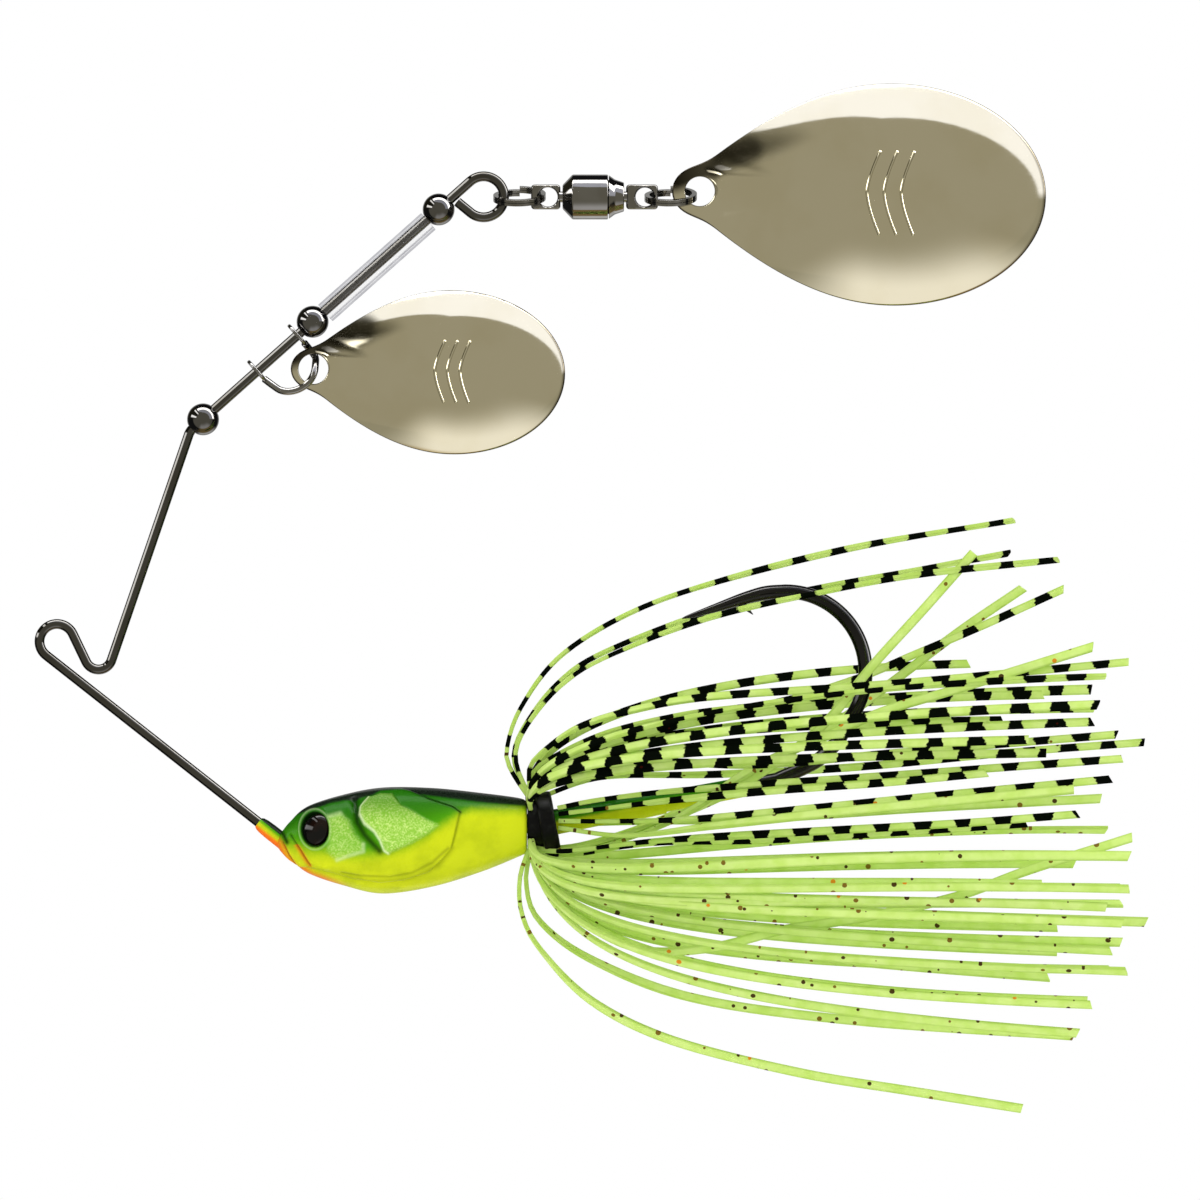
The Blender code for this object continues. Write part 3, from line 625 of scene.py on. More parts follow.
def wire_path():
    long_arm = in_plane(LONG_ARM_DEG)
    tie_start = in_plane(LONG_ARM_DEG - 90) * TIE_R
    inside_nose = tie_start + long_arm * 32.7
    eye = vec(HOOK_EYE[0], 0, HOOK_EYE[1])
    into_head = rounded([eye + SIDE * 1.5, eye - SIDE * 1.5, vec(29.4, -1.5, -21.5), inside_nose, tie_start], 0.9)
    tie = arc((0, 0), TIE_R, LONG_ARM_DEG - 90, SHORT_LEG_DEG + 90 - 360, 40)
    under_tie = arc(U_CENTRE, U_R, SHORT_LEG_DEG - 90, LOWER_ARM_DEG - 90, 28)
    bend = rounded([under_tie[-1], on_arm(0), on_arm(LOOP_AT)], ARM_BEND_R, 12)
    loop_centre = on_arm(LOOP_AT) + UNDER_ARM * LOOP_R
    start = UPPER_ARM_DEG + 90
    loop = arc((loop_centre[0], loop_centre[2]), LOOP_R, start, start - LOOP_TURN_DEG, 56)
    tag = loop[-1] + in_plane(start - LOOP_TURN_DEG - 90) * TAG_LENGTH
    return into_head[:-1] + tie + under_tie + bend[1:-1] + loop + [tag]


wire = Shape()
bar(wire, wire_path(), WIRE_R, 28)
wire.as_object("wire", "frame", "wire_frame", black_nickel)

bead_angle = math.acos(BEAD_BORE_R / BEAD_R)
bead_curve = [bead_angle * (2 * k / 40 - 1) for k in range(41)]
bead_profile = [(BEAD_R * math.sin(a), BEAD_R * math.cos(a)) for a in bead_curve]
for bead_name, bead_at in BEADS_AT.items():
    bead = Shape()
    lathe(bead, bead_profile, on_arm(bead_at), UPPER_ARM, 64)
    bead.as_object(bead_name + "_ball", bead_name, bead_name, bead_nickel)

sleeve = Shape()
sleeve_half = (SLEEVE_SPAN[1] - SLEEVE_SPAN[0]) / 2
sleeve_middle = on_arm(SLEEVE_SPAN[0] + sleeve_half) + UNDER_ARM * SLEEVE_HANG
lathe(sleeve, tube_profile(-sleeve_half, sleeve_half, SLEEVE_BORE_R, SLEEVE_R, 0.06), sleeve_middle, UPPER_ARM, 64)
sleeve.as_object("sleeve_tube", "sleeve", "clear_sleeve", tube_skin)

clevis = Shape()
clevis_rim = UNDER_ARM * (CLEVIS_EYE_R + CLEVIS_EYE_BORE_R) / 2
clevis_points = [
    on_arm(CLEVIS_EYES_AT[0]) + clevis_rim,
    (21.6, -0.4, 25.6), (22.4, -0.65, 25.1), (23.3, -0.8, 24.98), (24.3, -0.84, 25.25), (25.2, -0.84, 25.9),
    (25.72, -0.68, 26.8), (25.85, 0.0, 27.8), (25.8, 0.75, 28.45), (25.35, 0.9, 29.1),
    on_arm(CLEVIS_EYES_AT[1]) + clevis_rim,
]
bar(clevis, smooth(clevis_points, 8), CLEVIS_R, 20)
eye_half = CLEVIS_EYE_THICK / 2
eye_profile = tube_profile(-eye_half, eye_half, CLEVIS_EYE_BORE_R, CLEVIS_EYE_R, 0.14)
for eye_at in CLEVIS_EYES_AT:
    lathe(clevis, eye_profile, on_arm(eye_at), UPPER_ARM)
clevis.as_object("clevis_wire", "clevis", "clevis", clevis_nickel)


# ---- blades


def blade_half_width(blade, distance):
    widest = 0.59 * blade["length"]
    share = np.clip((distance - widest) / (blade["length"] - widest), 0, 1)
    end = blade["half_width"] * np.sqrt(1 - share**2)
    shoulder = blade["half_width"] * np.sin(np.pi / 2 * np.clip(distance / widest, 0, 1) ** 0.95)
    tip_r = 0.83 * blade["hole_in"]
    tip = np.sqrt(np.clip(tip_r**2 - (distance - tip_r) ** 2, 0, None)) * (distance < 2 * tip_r)
    return np.where(distance > widest, end, (shoulder**4 + tip**4) ** 0.25)


def blade_outline(blade, count=220):
    """Points round the rim, evenly spaced: (distance from the tip, across)."""
    side = blade["length"] * (1 - np.cos(np.linspace(0, np.pi, 900))) / 2
    half = blade_half_width(blade, side)
    rim_points = np.concatenate([np.stack([side, half], 1), np.stack([side[::-1], -half[::-1]], 1)[1:]])
    return resampled(rim_points, count + 1)[0][:-1]


def blade_depth(blade, rim_points):
    """The bulge at (u, v) from the hole: most in the middle, nothing at the rim or near the tip."""
    middle = 0.55 * blade["length"]
    offset = rim_points - (middle, 0)
    angle, reach = np.arctan2(offset[:, 1], offset[:, 0]), np.linalg.norm(offset, axis=1)

    def depth(u, v):
        d = u + blade["hole_in"]
        to_rim = np.interp(np.arctan2(v, d - middle), angle, reach, period=2 * np.pi)
        out = np.hypot(d - middle, v) / to_rim
        share = d / blade["length"]
        rise = (1 - 0.45 * np.clip(1 - 2 * share, 0, None) ** 2) * smoothstep(0, 0.14, share)
        return blade["cup"] * (1 - np.clip(out, 0, 1) ** 2.4) * rise

    return depth


# a stamped row of chevrons, as shares of a blade's length and of its half width
CHEVRONS_AT = [(16.6 + 1.7 * k) / 37.4 for k in range(3)]
CHEVRON_SWEEP, CHEVRON_REACH = 1.3 / 11.1, 4.2 / 11.1


def make_blade(name, blade):
    shape = Shape()
    rim_points = blade_outline(blade)
    depth = blade_depth(blade, rim_points)
    place = placed(blade["hole"], blade["deg"])
    plate(shape, rim_points - (blade["hole_in"], 0), blade["hole_r"], BLADE_THICK, depth, place)
    across = np.linspace(-1, 1, 41)
    for tip in CHEVRONS_AT:
        u = tip * blade["length"] + CHEVRON_SWEEP * blade["half_width"] * np.abs(across) ** 1.5
        v = CHEVRON_REACH * blade["half_width"] * across
        bar(shape, place(np.stack([u, 0.06 - BLADE_THICK / 2 - depth(u, v), v], axis=1)), 0.15, 12)
    shape.as_object(name + "_sheet", name, name, pale_gold)


for blade_name, blade_sizes in BLADES.items():
    make_blade(blade_name, blade_sizes)


# ---- rings and swivel

RING_STEPS = 72


def make_ring(name, x):
    """A split ring: two turns of flat wire, one on the other."""
    turns = np.arange(2 * RING_STEPS + 1)[:, None] / RING_STEPS
    angle = 2 * np.pi * (turns + 0.25)
    tilt = math.radians(RING_TILT_DEG)
    section = [(RING_INNER_R, -1), (RING_OUTER_R, -1), (RING_OUTER_R, 1), (RING_INNER_R, 1)]
    r, level = np.array(softened(section, 0.09)).T
    up = np.sin(angle) * r
    side = (turns - 1) * RING_PITCH + level * RING_LEAF / 2
    y = up * math.cos(tilt) - side * math.sin(tilt)
    z = SWIVEL_Z + up * math.sin(tilt) + side * math.cos(tilt)
    shape = Shape()
    shape.add(np.stack([x + np.cos(angle) * r, y, z], axis=2))
    shape.as_object(name + "_coil", name, name, bright_nickel)


for ring_name, ring_x in RINGS.items():
    make_ring(ring_name, ring_x)

SWIVEL, AHEAD = vec(0, 0, SWIVEL_Z), vec(1, 0, 0)
STEM_R, FLANGE_R = 0.55, 1.3
LUG_HALF_HEIGHT, LUG_THICK, LUG_CORNER = 1.25, 0.8, 0.35
BARREL_BORE = STEM_R + 0.2
barrel_profile = [(50.55, BARREL_BORE), (50.55, 1.2), (51.55, 2.25), (55.1, 2.25), (55.1, 1.75), (51.4, 1.75),
                  (51.4, BARREL_BORE)]
cap_profile = [(54.65, BARREL_BORE), (54.65, 1.68), (55.18, 1.68), (55.18, 2.2), (55.8, 1.75), (56.7, 1.45),
               (56.7, BARREL_BORE)]
barrel = Shape()
lathe(barrel, softened(barrel_profile, 0.12), SWIVEL, AHEAD, 72)
barrel.as_object("swivel_barrel_shell", "swivel_barrel", "swivel_barrel", bright_nickel)
cap = Shape()
lathe(cap, softened(cap_profile, 0.1), SWIVEL, AHEAD, 72)
cap.as_object("swivel_cap_shell", "swivel_barrel", "swivel_end_cap", bright_nickel)


def rounded_box_outline(low, high, half_height, corner, count=96):
    """Points round a rectangle with round corners."""
    left, right, top = low + corner, high - corner, half_height - corner
    rim_points = []
    for x, z, start in ((right, top, 0), (left, top, 90), (left, -top, 180), (right, -top, 270)):
        angles = np.radians(start + np.linspace(0, 90, 9))
        rim_points += [(x + corner * math.cos(a), z + corner * math.sin(a)) for a in angles]
    return spaced_round(rim_points, count)


def make_lug(name, lug, hole, flange):
    """A flat lug with a hole, and its stem with a flange inside the barrel. Each part is given along X."""
    shape = Shape()
    outline = rounded_box_outline(lug[0] - hole[0], lug[1] - hole[0], LUG_HALF_HEIGHT, LUG_CORNER)
    place = placed((hole[0], SWIVEL_Z), 0)
    plate(shape, outline, hole[1], LUG_THICK, lambda u, v: 0 * u, place, rows=8, soft=0.18)
    root = lug[1] - 0.1 if flange[0] > lug[1] else lug[0] + 0.1
    inner, outer = sorted(flange, key=lambda x: abs(x - root))
    profile = [(root, 0.001), (root, STEM_R), (inner, STEM_R), (inner, FLANGE_R), (outer, FLANGE_R), (outer, 0.001)]
    lathe(shape, profile, SWIVEL, AHEAD, 40)
    shape.as_object(name + "_lug", name, name, bright_nickel)


make_lug("swivel_front_eye", (47.4, 50.35), (49.1, 0.95), (51.5, 52.0))
make_lug("swivel_rear_eye", (56.9, 60.1), (58.8, 0.93), (53.2, 53.7))
for ball in [o for o in bpy.data.objects if o.name.startswith("bearing_ball")]:
    for ball_slot in ball.material_slots:
        ball_slot.material = bright_nickel


# ---- hook


def hook_path():
    eye = arc(HOOK_EYE, HOOK_EYE_R, SHANK_DEG + 50, SHANK_DEG + 318, 30)
    centre = vec(HOOK_EYE[0], 0, HOOK_EYE[1])
    shank = [centre + SHANK * 3.4, centre + SHANK * 10, COLLAR, COLLAR + SHANK * 12, COLLAR + SHANK * 23.8]
    heel = smooth([COLLAR + SHANK * 24.5, (75.8, 0, -12.05), (78.1, 0, -10.0)], 8)
    bend = arc(HOOK_BEND, HOOK_BEND_R, -37, 90, 40)
    spear = smooth([bend[-1], (70.9, 0, 4.85), (68.7, 0, 4.3), (66.3, 0, 3.5), (64.3, 0, 2.85), (62.5, 0, 2.3)], 5)
    return eye + shank + heel + bend + spear[1:]


hook = Shape()
hook_points = np.array(hook_path())
to_point = distances(hook_points[::-1])[::-1]
bar(hook, hook_points, HOOK_R * np.clip(0.06 + 0.94 * (to_point / 8.5) ** 0.62, 0, 1), 28, soften=0.02)
bar(hook, smooth([(67.8, 0, 4.2), (68.6, 0, 3.6), (69.6, 0, 2.7)], 6),
    np.interp(np.arange(13), [0, 6, 12], [0.42, 0.36, 0.04]), 16, soften=0.02)
hook.as_object("hook_wire", "frame", "hook", hook_black)


# ---- head, keeper, eyes and collar

# stations of the head: distance along X, top, bottom, half width
HEAD_STATIONS = (
    (22.35, -19.75, -20.4, 0.45), (22.75, -19.1, -21.0, 1.2), (23.6, -17.95, -21.95, 2.05),
    (25.2, -16.45, -23.2, 3.0), (28.7, -15.3, -24.4, 4.0), (32.6, -14.6, -25.2, 4.4),
    (37.6, -14.65, -24.5, 4.4), (42.5, -15.15, -23.0, 3.9), (46.2, -15.65, -21.5, 3.2),
    (47.0, -16.05, -21.1, 2.9),
)
# lines drawn on the side of the head, as (X, Z)
BLACK_EDGE = ((22.4, -18.9), (23.1, -18.37), (24.15, -17.5), (25.7, -17.0), (27.7, -16.3), (30.1, -15.9),
              (31.7, -15.55), (32.5, -15.1), (34.4, -14.95), (35.6, -15.15), (37.6, -15.4), (39.6, -15.65),
              (41.5, -15.9), (43.5, -16.1), (47.0, -16.4))
YELLOW_EDGE = ((22.4, -20.3), (23.75, -20.4), (25.7, -20.9), (27.2, -21.0), (29.5, -21.3), (32.4, -21.2),
               (34.0, -20.8), (35.6, -20.2), (37.2, -19.3), (38.4, -18.5), (39.6, -17.75), (40.4, -17.2),
               (41.5, -16.85), (47.0, -16.8))
CHEEK = ((27.4, -17.6), (28.5, -17.3), (29.4, -18.0), (29.9, -19.2), (30.8, -20.1), (30.8, -20.8),
         (29.7, -21.1), (28.2, -21.6), (27.3, -20.8), (27.5, -19.6))
GILL_PLATE = ((31.3, -15.9), (30.5, -16.7), (30.4, -17.3), (30.9, -18.2), (31.9, -18.95), (32.45, -19.75),
              (32.85, -20.75), (33.25, -20.95), (34.2, -20.55), (35.6, -19.95), (37.2, -19.05), (38.2, -18.3),
              (37.0, -17.8), (35.6, -17.0), (34.45, -16.5), (33.6, -15.5), (32.45, -15.5))
GILL_FRONT = GILL_PLATE[:8]
GILL_GROOVE = ((29.9, -16.1), (30.05, -17.0), (30.15, -18.0), (30.9, -19.25), (31.65, -20.05), (32.4, -20.85))
COVER = ((16.0, -10.0), (34.2, -10.0), (34.45, -14.7), (35.6, -15.1), (37.6, -15.9), (39.55, -16.5),
         (40.35, -17.0), (40.05, -18.4), (39.8, -19.4), (39.5, -20.5), (38.8, -21.4), (37.2, -22.9),
         (34.8, -23.7), (32.4, -23.95), (29.7, -23.55), (27.7, -23.0), (25.0, -22.4), (16.0, -22.0))
COVER_REAR = COVER[6:10]
COVER_TOP = COVER[2:7]
JAW_FOLD = ((25.2, -22.3), (28.0, -23.1), (31.5, -23.75), (35.0, -23.6), (38.2, -22.3), (39.6, -20.6))
NOSE_SPOTS = ((22.5, -19.1), (22.95, -19.35), (23.3, -20.0))
BELLY_FOLD = ((39.2, -20.5), (37.6, -21.9), (35.6, -22.9), (33.4, -23.3), (30.5, -23.2), (28.6, -22.9))
CHEEK_RIDGE = ((27.1, -22.3), (28.9, -21.95), (30.7, -21.75))
MOUTH = (((23.65, -19.4), (24.6, -20.8), (25.45, -22.2)), ((22.8, -20.0), (23.4, -21.2), (24.25, -22.4)))
THROAT_LINE = ((22.2, -20.3), (22.9, -21.5), (23.9, -22.6), (25.5, -23.6), (27.5, -24.3), (29.4, -24.8))
# lines cut into the head, as (line, depth, width), and lines painted dark on it, as (line, share of dark, width):
# painted shade in the grooves and folds and along the gill cover's edges, and dark spots at the nose
CUT_LINES = ((GILL_GROOVE, 0.42, 0.42), (BELLY_FOLD, 0.14, 0.2), (JAW_FOLD, 0.12, 0.35), (MOUTH[0], 0.2, 0.13),
             (MOUTH[1], 0.2, 0.13))
SHADE_AND_DARK_LINES = ((GILL_GROOVE, 0.8, 0.3), (COVER_TOP, 0.97, 0.2), (BELLY_FOLD, 0.35, 0.13), (JAW_FOLD, 0.22, 0.3),
              (NOSE_SPOTS, 0.9, 0.22), (COVER_REAR, 0.4, 0.12), (MOUTH[0], 0.6, 0.09), (MOUTH[1], 0.6, 0.08))


def line_distance(x, z, line):
    """How far each (x, z) is from the polyline."""
    nearest = np.full(x.shape, 1e9)
    for (ax, az), (bx, bz) in zip(line, line[1:]):
        dx, dz = bx - ax, bz - az
        t = np.clip(((x - ax) * dx + (z - az) * dz) / (dx * dx + dz * dz), 0, 1)
        nearest = np.minimum(nearest, np.hypot(x - ax - t * dx, z - az - t * dz))
    return nearest


def inside(x, z, outline, soft):
    """1 well inside the outline, 0 well outside it, with a soft edge this wide."""
    within = np.zeros(x.shape, bool)
    for (ax, az), (bx, bz) in zip(outline, outline[1:] + outline[:1]):
        crosses = (az > z) != (bz > z)
        with np.errstate(divide="ignore", invalid="ignore"):
            at = ax + (z - az) * (bx - ax) / (bz - az)
        within ^= crosses & (x < at)
    away = line_distance(x, z, outline + outline[:1])
    return smoothstep(-soft, soft, np.where(within, away, -away))


def ridge(x, z, line, width):
    return np.exp(-(line_distance(x, z, line) / width) ** 2)


def eye_ratio(x, z):
    """1 on the eye's rim, less inside it."""
    return np.hypot((x - EYE_AT[0]) / 1.38, (z - EYE_AT[2]) / 1.64)


def head_grid(rows=300, columns=260):
    stations = np.array(smooth([vec(*row) for row in HEAD_STATIONS], 40))
    along = distances(stations[:, :3])
    at = np.linspace(0, along[-1], rows)
    x, top, bottom, half_width = [np.interp(at, along, stations[:, k]) for k in range(4)]
    last = np.clip((x - 46.75) / 0.25, 0, 1)
    tuck = 1 - 0.09 * (1 - np.sqrt(1 - last**2))
    angle = 2 * np.pi * np.arange(columns) / columns
    middle, half = (top + bottom) / 2, (top - bottom) / 2 * tuck
    y = (half_width * tuck)[:, None] * np.sign(np.sin(angle)) * np.abs(np.sin(angle)) ** 0.9
    z = middle[:, None] + half[:, None] * np.cos(angle)
    return np.stack([np.repeat(x[:, None], columns, 1), y, z], axis=2), angle


def carve_head(points, angle):
    """Raises and cuts the plates, grooves and sockets along the surface's normals."""
    x, z = points[:, :, 0], points[:, :, 2]
    along = np.gradient(points, axis=0)
    around = np.roll(points, -1, axis=1) - np.roll(points, 1, axis=1)
    normal = unit(np.cross(around, along))
    if (normal[:, :, 1] * points[:, :, 1]).sum() < 0:
        normal = -normal
    flank = smoothstep(0.12, 0.5, np.abs(np.sin(angle)))[None, :]
    e = eye_ratio(x, z)
    front = 1 - smoothstep(30.5, 38.5, x)
    relief = 0.34 * inside(x, z, COVER, 0.16) * flank
    relief += 0.2 * inside(x, z, CHEEK, 0.3)
    relief += inside(x, z, GILL_PLATE, 0.12) * (0.1 + 0.3 * front)
    relief += 0.16 * (ridge(x, z, GILL_FRONT, 0.2) + ridge(x, z, CHEEK_RIDGE, 0.28))
    for line, depth, width in CUT_LINES:
        relief -= depth * ridge(x, z, line, width) * flank
    relief += 0.12 * np.exp(-((e - 1.12) / 0.1) ** 2)
    relief -= 0.75 * (1 - smoothstep(0.8, 1.0, e))
    return points + normal * relief[:, :, None]


def head_masks(points, angle):
    x, z = points[:, :, 0], points[:, :, 2]
    black = np.interp(x, *zip(*BLACK_EDGE))
    yellow = np.interp(x, *zip(*YELLOW_EDGE))
    spread = np.interp(x, (30, 39, 41, 44), (1.4, 1.2, 1.0, 1.2))
    flank = smoothstep(0.15, 0.6, np.abs(np.sin(angle)))[None, :]
    e = eye_ratio(x, z)
    crease_shades = [share * ridge(x, z, line, width) for line, share, width in SHADE_AND_DARK_LINES]
    # painted shade in the eye's socket
    socket = 0.97 * (1 - smoothstep(0.98, 1.05, e))
    pearl = np.maximum(inside(x, z, GILL_PLATE, 0.25) * (1 - 0.7 * smoothstep(-18.6, -15.8, z)),
                       0.75 * inside(x, z, CHEEK, 0.4))
    # painted highlights along the raised edges of the gill plate and cheek and round the eye's rim
    painted_edge_highlight = np.maximum.reduce([
        0.8 * ridge(x, z, GILL_FRONT, 0.12), 0.2 * np.exp(-((e - 1.12) / 0.05) ** 2),
        0.36 * ridge(x, z, CHEEK[4:8], 0.16), 0.2 * ridge(x, z, CHEEK[:2], 0.25),
    ])
    orange = (1 - smoothstep(0.1, 1.0, line_distance(x, z, THROAT_LINE))) * (1 - smoothstep(26.5, 30.0, x))
    mouth_tint = 0.75 * np.maximum(ridge(x, z, MOUTH[0], 0.2), ridge(x, z, MOUTH[1], 0.18))
    return {
        "back": smoothstep(-0.42, 0.42, z - black),
        "flank": np.clip((black - z) / (black - yellow + 0.4), 0, 1),
        "belly": 1 - smoothstep(-1, 1, (z - yellow) / spread),
        "plate": pearl,
        "edge": painted_edge_highlight * flank * (z < black + 0.1),
        "crease_shade": np.maximum.reduce([*crease_shades, socket]) * flank,
        "throat": np.maximum(orange, mouth_tint * (z < -20.2)),
    }


head = Shape()
surface, head_angle = head_grid()
head.add(carve_head(surface, head_angle), masks=head_masks(surface, head_angle))
head.as_object("head_cast", "frame", "head", paint, sharp_deg=0)

nose = in_plane(LONG_ARM_DEG)
over_nose = in_plane(LONG_ARM_DEG + 90)
nose_axis = in_plane(LONG_ARM_DEG - 90) * TIE_R
height_on_stem = lambda p: (p - nose_axis) @ over_nose / 0.78
stem = Shape()
stem_run = np.array([27.0, 27.25, 27.7, 28.6, 29.6, 30.6, 31.4, 32.0])
bar(stem, [nose_axis + nose * d for d in stem_run], [0.56, 0.68, 0.76, 0.8, 0.8, 0.82, 0.86, 0.9], 40, masks={
    "back": lambda p: smoothstep(0.25, 0.75, height_on_stem(p)),
    "flank": lambda p: np.ones(len(p)),
    "belly": lambda p: smoothstep(0.5, -0.1, height_on_stem(p)) * 0.8,
    "throat": lambda p: 1 - smoothstep(-0.65, -0.1, height_on_stem(p)),
})
stem.as_object("head_stem", "frame", None, paint, sharp_deg=0)

KEEPER_PROFILE = ((-1.0, 0.001), (-1.0, 1.3), (0.8, 1.3), (7.8, 1.15), (8.3, 1.35), (13.0, 1.2), (13.1, 1.05),
                  (20.9, 1.0), (20.9, 0.001))
keeper_at = COLLAR - OVER_SHANK * KEEPER_DROP
height_on_keeper = lambda p: (p - keeper_at) @ OVER_SHANK
keeper = Shape()
lathe(keeper, softened(KEEPER_PROFILE, 0.12, closed=False), keeper_at, SHANK, 56, closed=False, masks={
    "back": lambda p: smoothstep(0.75, 1.3, height_on_keeper(p)) * 0.75,
    "flank": lambda p: smoothstep(0.9, 0.2, height_on_keeper(p)) * 0.6,
    "belly": lambda p: smoothstep(0.35, -0.25, height_on_keeper(p)),
})
keeper.as_object("skirt_keeper", "frame", None, paint)

lat = np.linspace(0.001, np.pi - 0.001, 40)[:, None]
lon = 2 * np.pi * np.arange(64) / 64
dome = np.stack([np.sin(lat) * np.cos(lon), np.cos(lat) + 0 * lon, np.sin(lat) * np.sin(lon)], axis=2) * EYE_HALF
for eye_name, eye_side in (("eye_left", -1), ("eye_right", 1)):
    look = unit(vec(-EYE_TILT[0], eye_side * EYE_TILT[1], EYE_TILT[2]))
    turn = np.array(Vector(SIDE).rotation_difference(Vector(look)).to_matrix())
    eyeball = Shape()
    eyeball.add(dome @ turn.T + vec(EYE_AT[0], eye_side * EYE_AT[1], EYE_AT[2]))
    eyeball.as_object(eye_name + "_dome", "frame", eye_name, eye_skin, sharp_deg=0)

BAND_INNER_R, BAND_R, BAND_EDGE = 1.42, COLLAR_R - 0.15, 0.35
CORE_SPAN, CORE_R = (-0.84, 1.0), 2.35  # the thin sleeve under the band, towards the head
collar = Shape()
band = tube_profile(*COLLAR_SPAN, BAND_INNER_R, BAND_R, BAND_EDGE, steps=5)
lathe(collar, band, COLLAR, SHANK, 64)
lathe(collar, tube_profile(*CORE_SPAN, BAND_INNER_R, CORE_R, 0.1), COLLAR, AHEAD, 64)
collar.as_object("skirt_band", "frame", "skirt_collar", rubber)


# ---- skirt

SECTORS = 8
SKIRT_MIDDLE_Z = -16.5
REACH_UP, REACH_DOWN, REACH_SIDE = 28.7, 30.2, 13.4
ROOT_SQUEEZE = 0.64  # the strands part into an upper and a lower group as they leave the collar
STRAND_WIDTH, STRAND_THICK = 0.95, 0.42
BARRED_STRAY_WIDTH = STRAND_WIDTH * 0.84

# tips (X, Z) of the strands that are spread evenly, printed with bars or flecked
BARRED_TIPS = (
    (91.6, -2.3), (104.3, -3.4), (104.0, -4.9), (103.5, -6.2), (104.5, -6.8), (98.5, -11.0), (95.0, -8.0),
    (103.0, -7.9), (99.0, -5.4), (96.5, -9.6),
)
FLECKED_TIPS = (
    (105.7, -19.2), (106.5, -21.1), (107.0, -21.8), (106.4, -24.3), (107.1, -25.0), (105.7, -25.8), (103.2, -26.7),
    (105.8, -27.7), (109.5, -28.4), (106.0, -29.8), (100.5, -31.4), (106.4, -32.6), (106.0, -33.3),
    (102.9, -35.9), (103.6, -36.4), (101.8, -38.9), (102.5, -22.6), (104.2, -26.1), (100.6, -29.0),
    (104.9, -30.6), (99.5, -33.9), (98.0, -24.0),
)
# strands that stray from the rest: barred or not, side, then points (X, Z) from the collar to the tip
STRAYS = (
    (True, -1, ((47.4, -15.9), (45.4, -12.8), (45.0, -10.7), (46.4, -6.6), (50.4, -1.4), (57.6, 3.0), (66.8, 6.2),
                (80.2, 9.5), (95.6, 12.1))),
    (True, 1, ((47.6, -15.9), (45.9, -12.8), (45.8, -10.6), (47.2, -7.8), (50.0, -4.3), (54.3, -1.3), (64.9, 2.8),
               (77.1, 5.5), (86.9, 7.3), (95.4, 8.85))),
    (True, -1, ((47.5, -15.9), (46.1, -12.8), (46.0, -10.4), (47.6, -7.5), (50.6, -4.2), (55.0, -1.5), (65.2, 2.4),
                (77.3, 5.1), (87.0, 6.8), (99.9, 8.15))),
    (True, -1, ((47.6, -15.9), (47.2, -12.9), (48.7, -10.9), (52.4, -8.4), (58.0, -6.7), (64.7, -5.5), (77.4, -4.6),
                (87.6, -3.8), (106.8, -2.0))),
    (True, 1, ((48.0, -15.8), (47.5, -13.4), (49.6, -11.6), (55.0, -9.2), (63.0, -7.4), (71.9, -6.2), (80.0, -3.8),
               (86.0, -1.3), (92.6, 1.5), (100.9, 5.25))),
    (True, -1, ((47.9, -16.0), (48.4, -14.8), (52.0, -13.3), (60.0, -12.0), (70.0, -12.2), (84.0, -11.0),
                (97.0, -9.9), (105.6, -9.2))),
    (True, 1, ((48.0, -16.0), (49.4, -15.2), (55.0, -13.6), (66.0, -13.4), (80.0, -12.7), (96.0, -11.2),
               (109.2, -10.2))),
    (True, -1, ((50.1, -16.6), (54.0, -15.8), (61.0, -14.9), (70.0, -14.2), (84.0, -13.2), (106.1, -11.6))),
    (True, -1, ((50.2, -17.2), (55.0, -16.6), (62.0, -15.7), (72.0, -14.7), (83.0, -13.9), (92.6, -13.0))),
    (True, -1, ((50.2, -17.9), (56.0, -17.9), (64.0, -17.6), (73.4, -16.7), (88.0, -15.2), (104.9, -13.6))),
    (False, -1, ((50.2, -18.6), (57.0, -19.3), (66.0, -18.2), (80.0, -16.6), (101.2, -14.6))),
    (False, 1, ((50.0, -18.4), (57.0, -18.2), (70.0, -17.9), (86.0, -16.9), (104.9, -15.9))),
    (True, -1, ((47.9, -20.6), (51.0, -20.9), (60.0, -19.8), (74.0, -18.9), (90.0, -18.0), (101.7, -17.1))),
    (True, 1, ((47.9, -20.7), (51.0, -21.4), (60.3, -20.3), (74.0, -19.9), (97.3, -18.4))),
    (False, -1, ((47.9, -20.8), (52.0, -20.6), (58.0, -18.9), (66.0, -15.6), (72.5, -11.6), (77.1, -7.7),
                 (81.5, -2.3), (86.5, 3.2), (91.5, 8.85))),
    (False, 1, ((47.9, -20.8), (53.0, -20.2), (61.0, -17.6), (70.0, -13.0), (77.5, -8.6), (84.0, -3.9),
                (90.5, 1.0), (96.9, 5.35))),
    (False, -1, ((47.9, -20.9), (53.5, -20.7), (62.0, -17.6), (69.6, -12.6), (77.4, -9.1), (82.7, -6.8), (90.0, -4.6),
                 (103.2, -0.5))),
    (False, -1, ((47.6, -20.7), (48.0, -22.6), (52.0, -27.6), (58.0, -30.6), (65.0, -30.5), (72.6, -28.6),
                 (80.2, -27.4), (89.6, -25.3), (96.7, -22.7), (107.1, -19.4))),
    (False, -1, ((47.2, -20.7), (46.3, -23.6), (46.5, -27.2), (48.4, -30.8), (53.5, -35.9), (61.5, -39.8),
                 (74.1, -43.0), (85.0, -44.8), (96.4, -46.6))),
    (False, 1, ((47.4, -20.7), (46.9, -24.2), (48.2, -28.0), (53.5, -32.0), (63.8, -35.9), (80.3, -38.2),
                (102.0, -39.7))),
)


def outwards(azimuth):
    return OVER_SHANK * math.cos(azimuth) + SIDE * math.sin(azimuth)


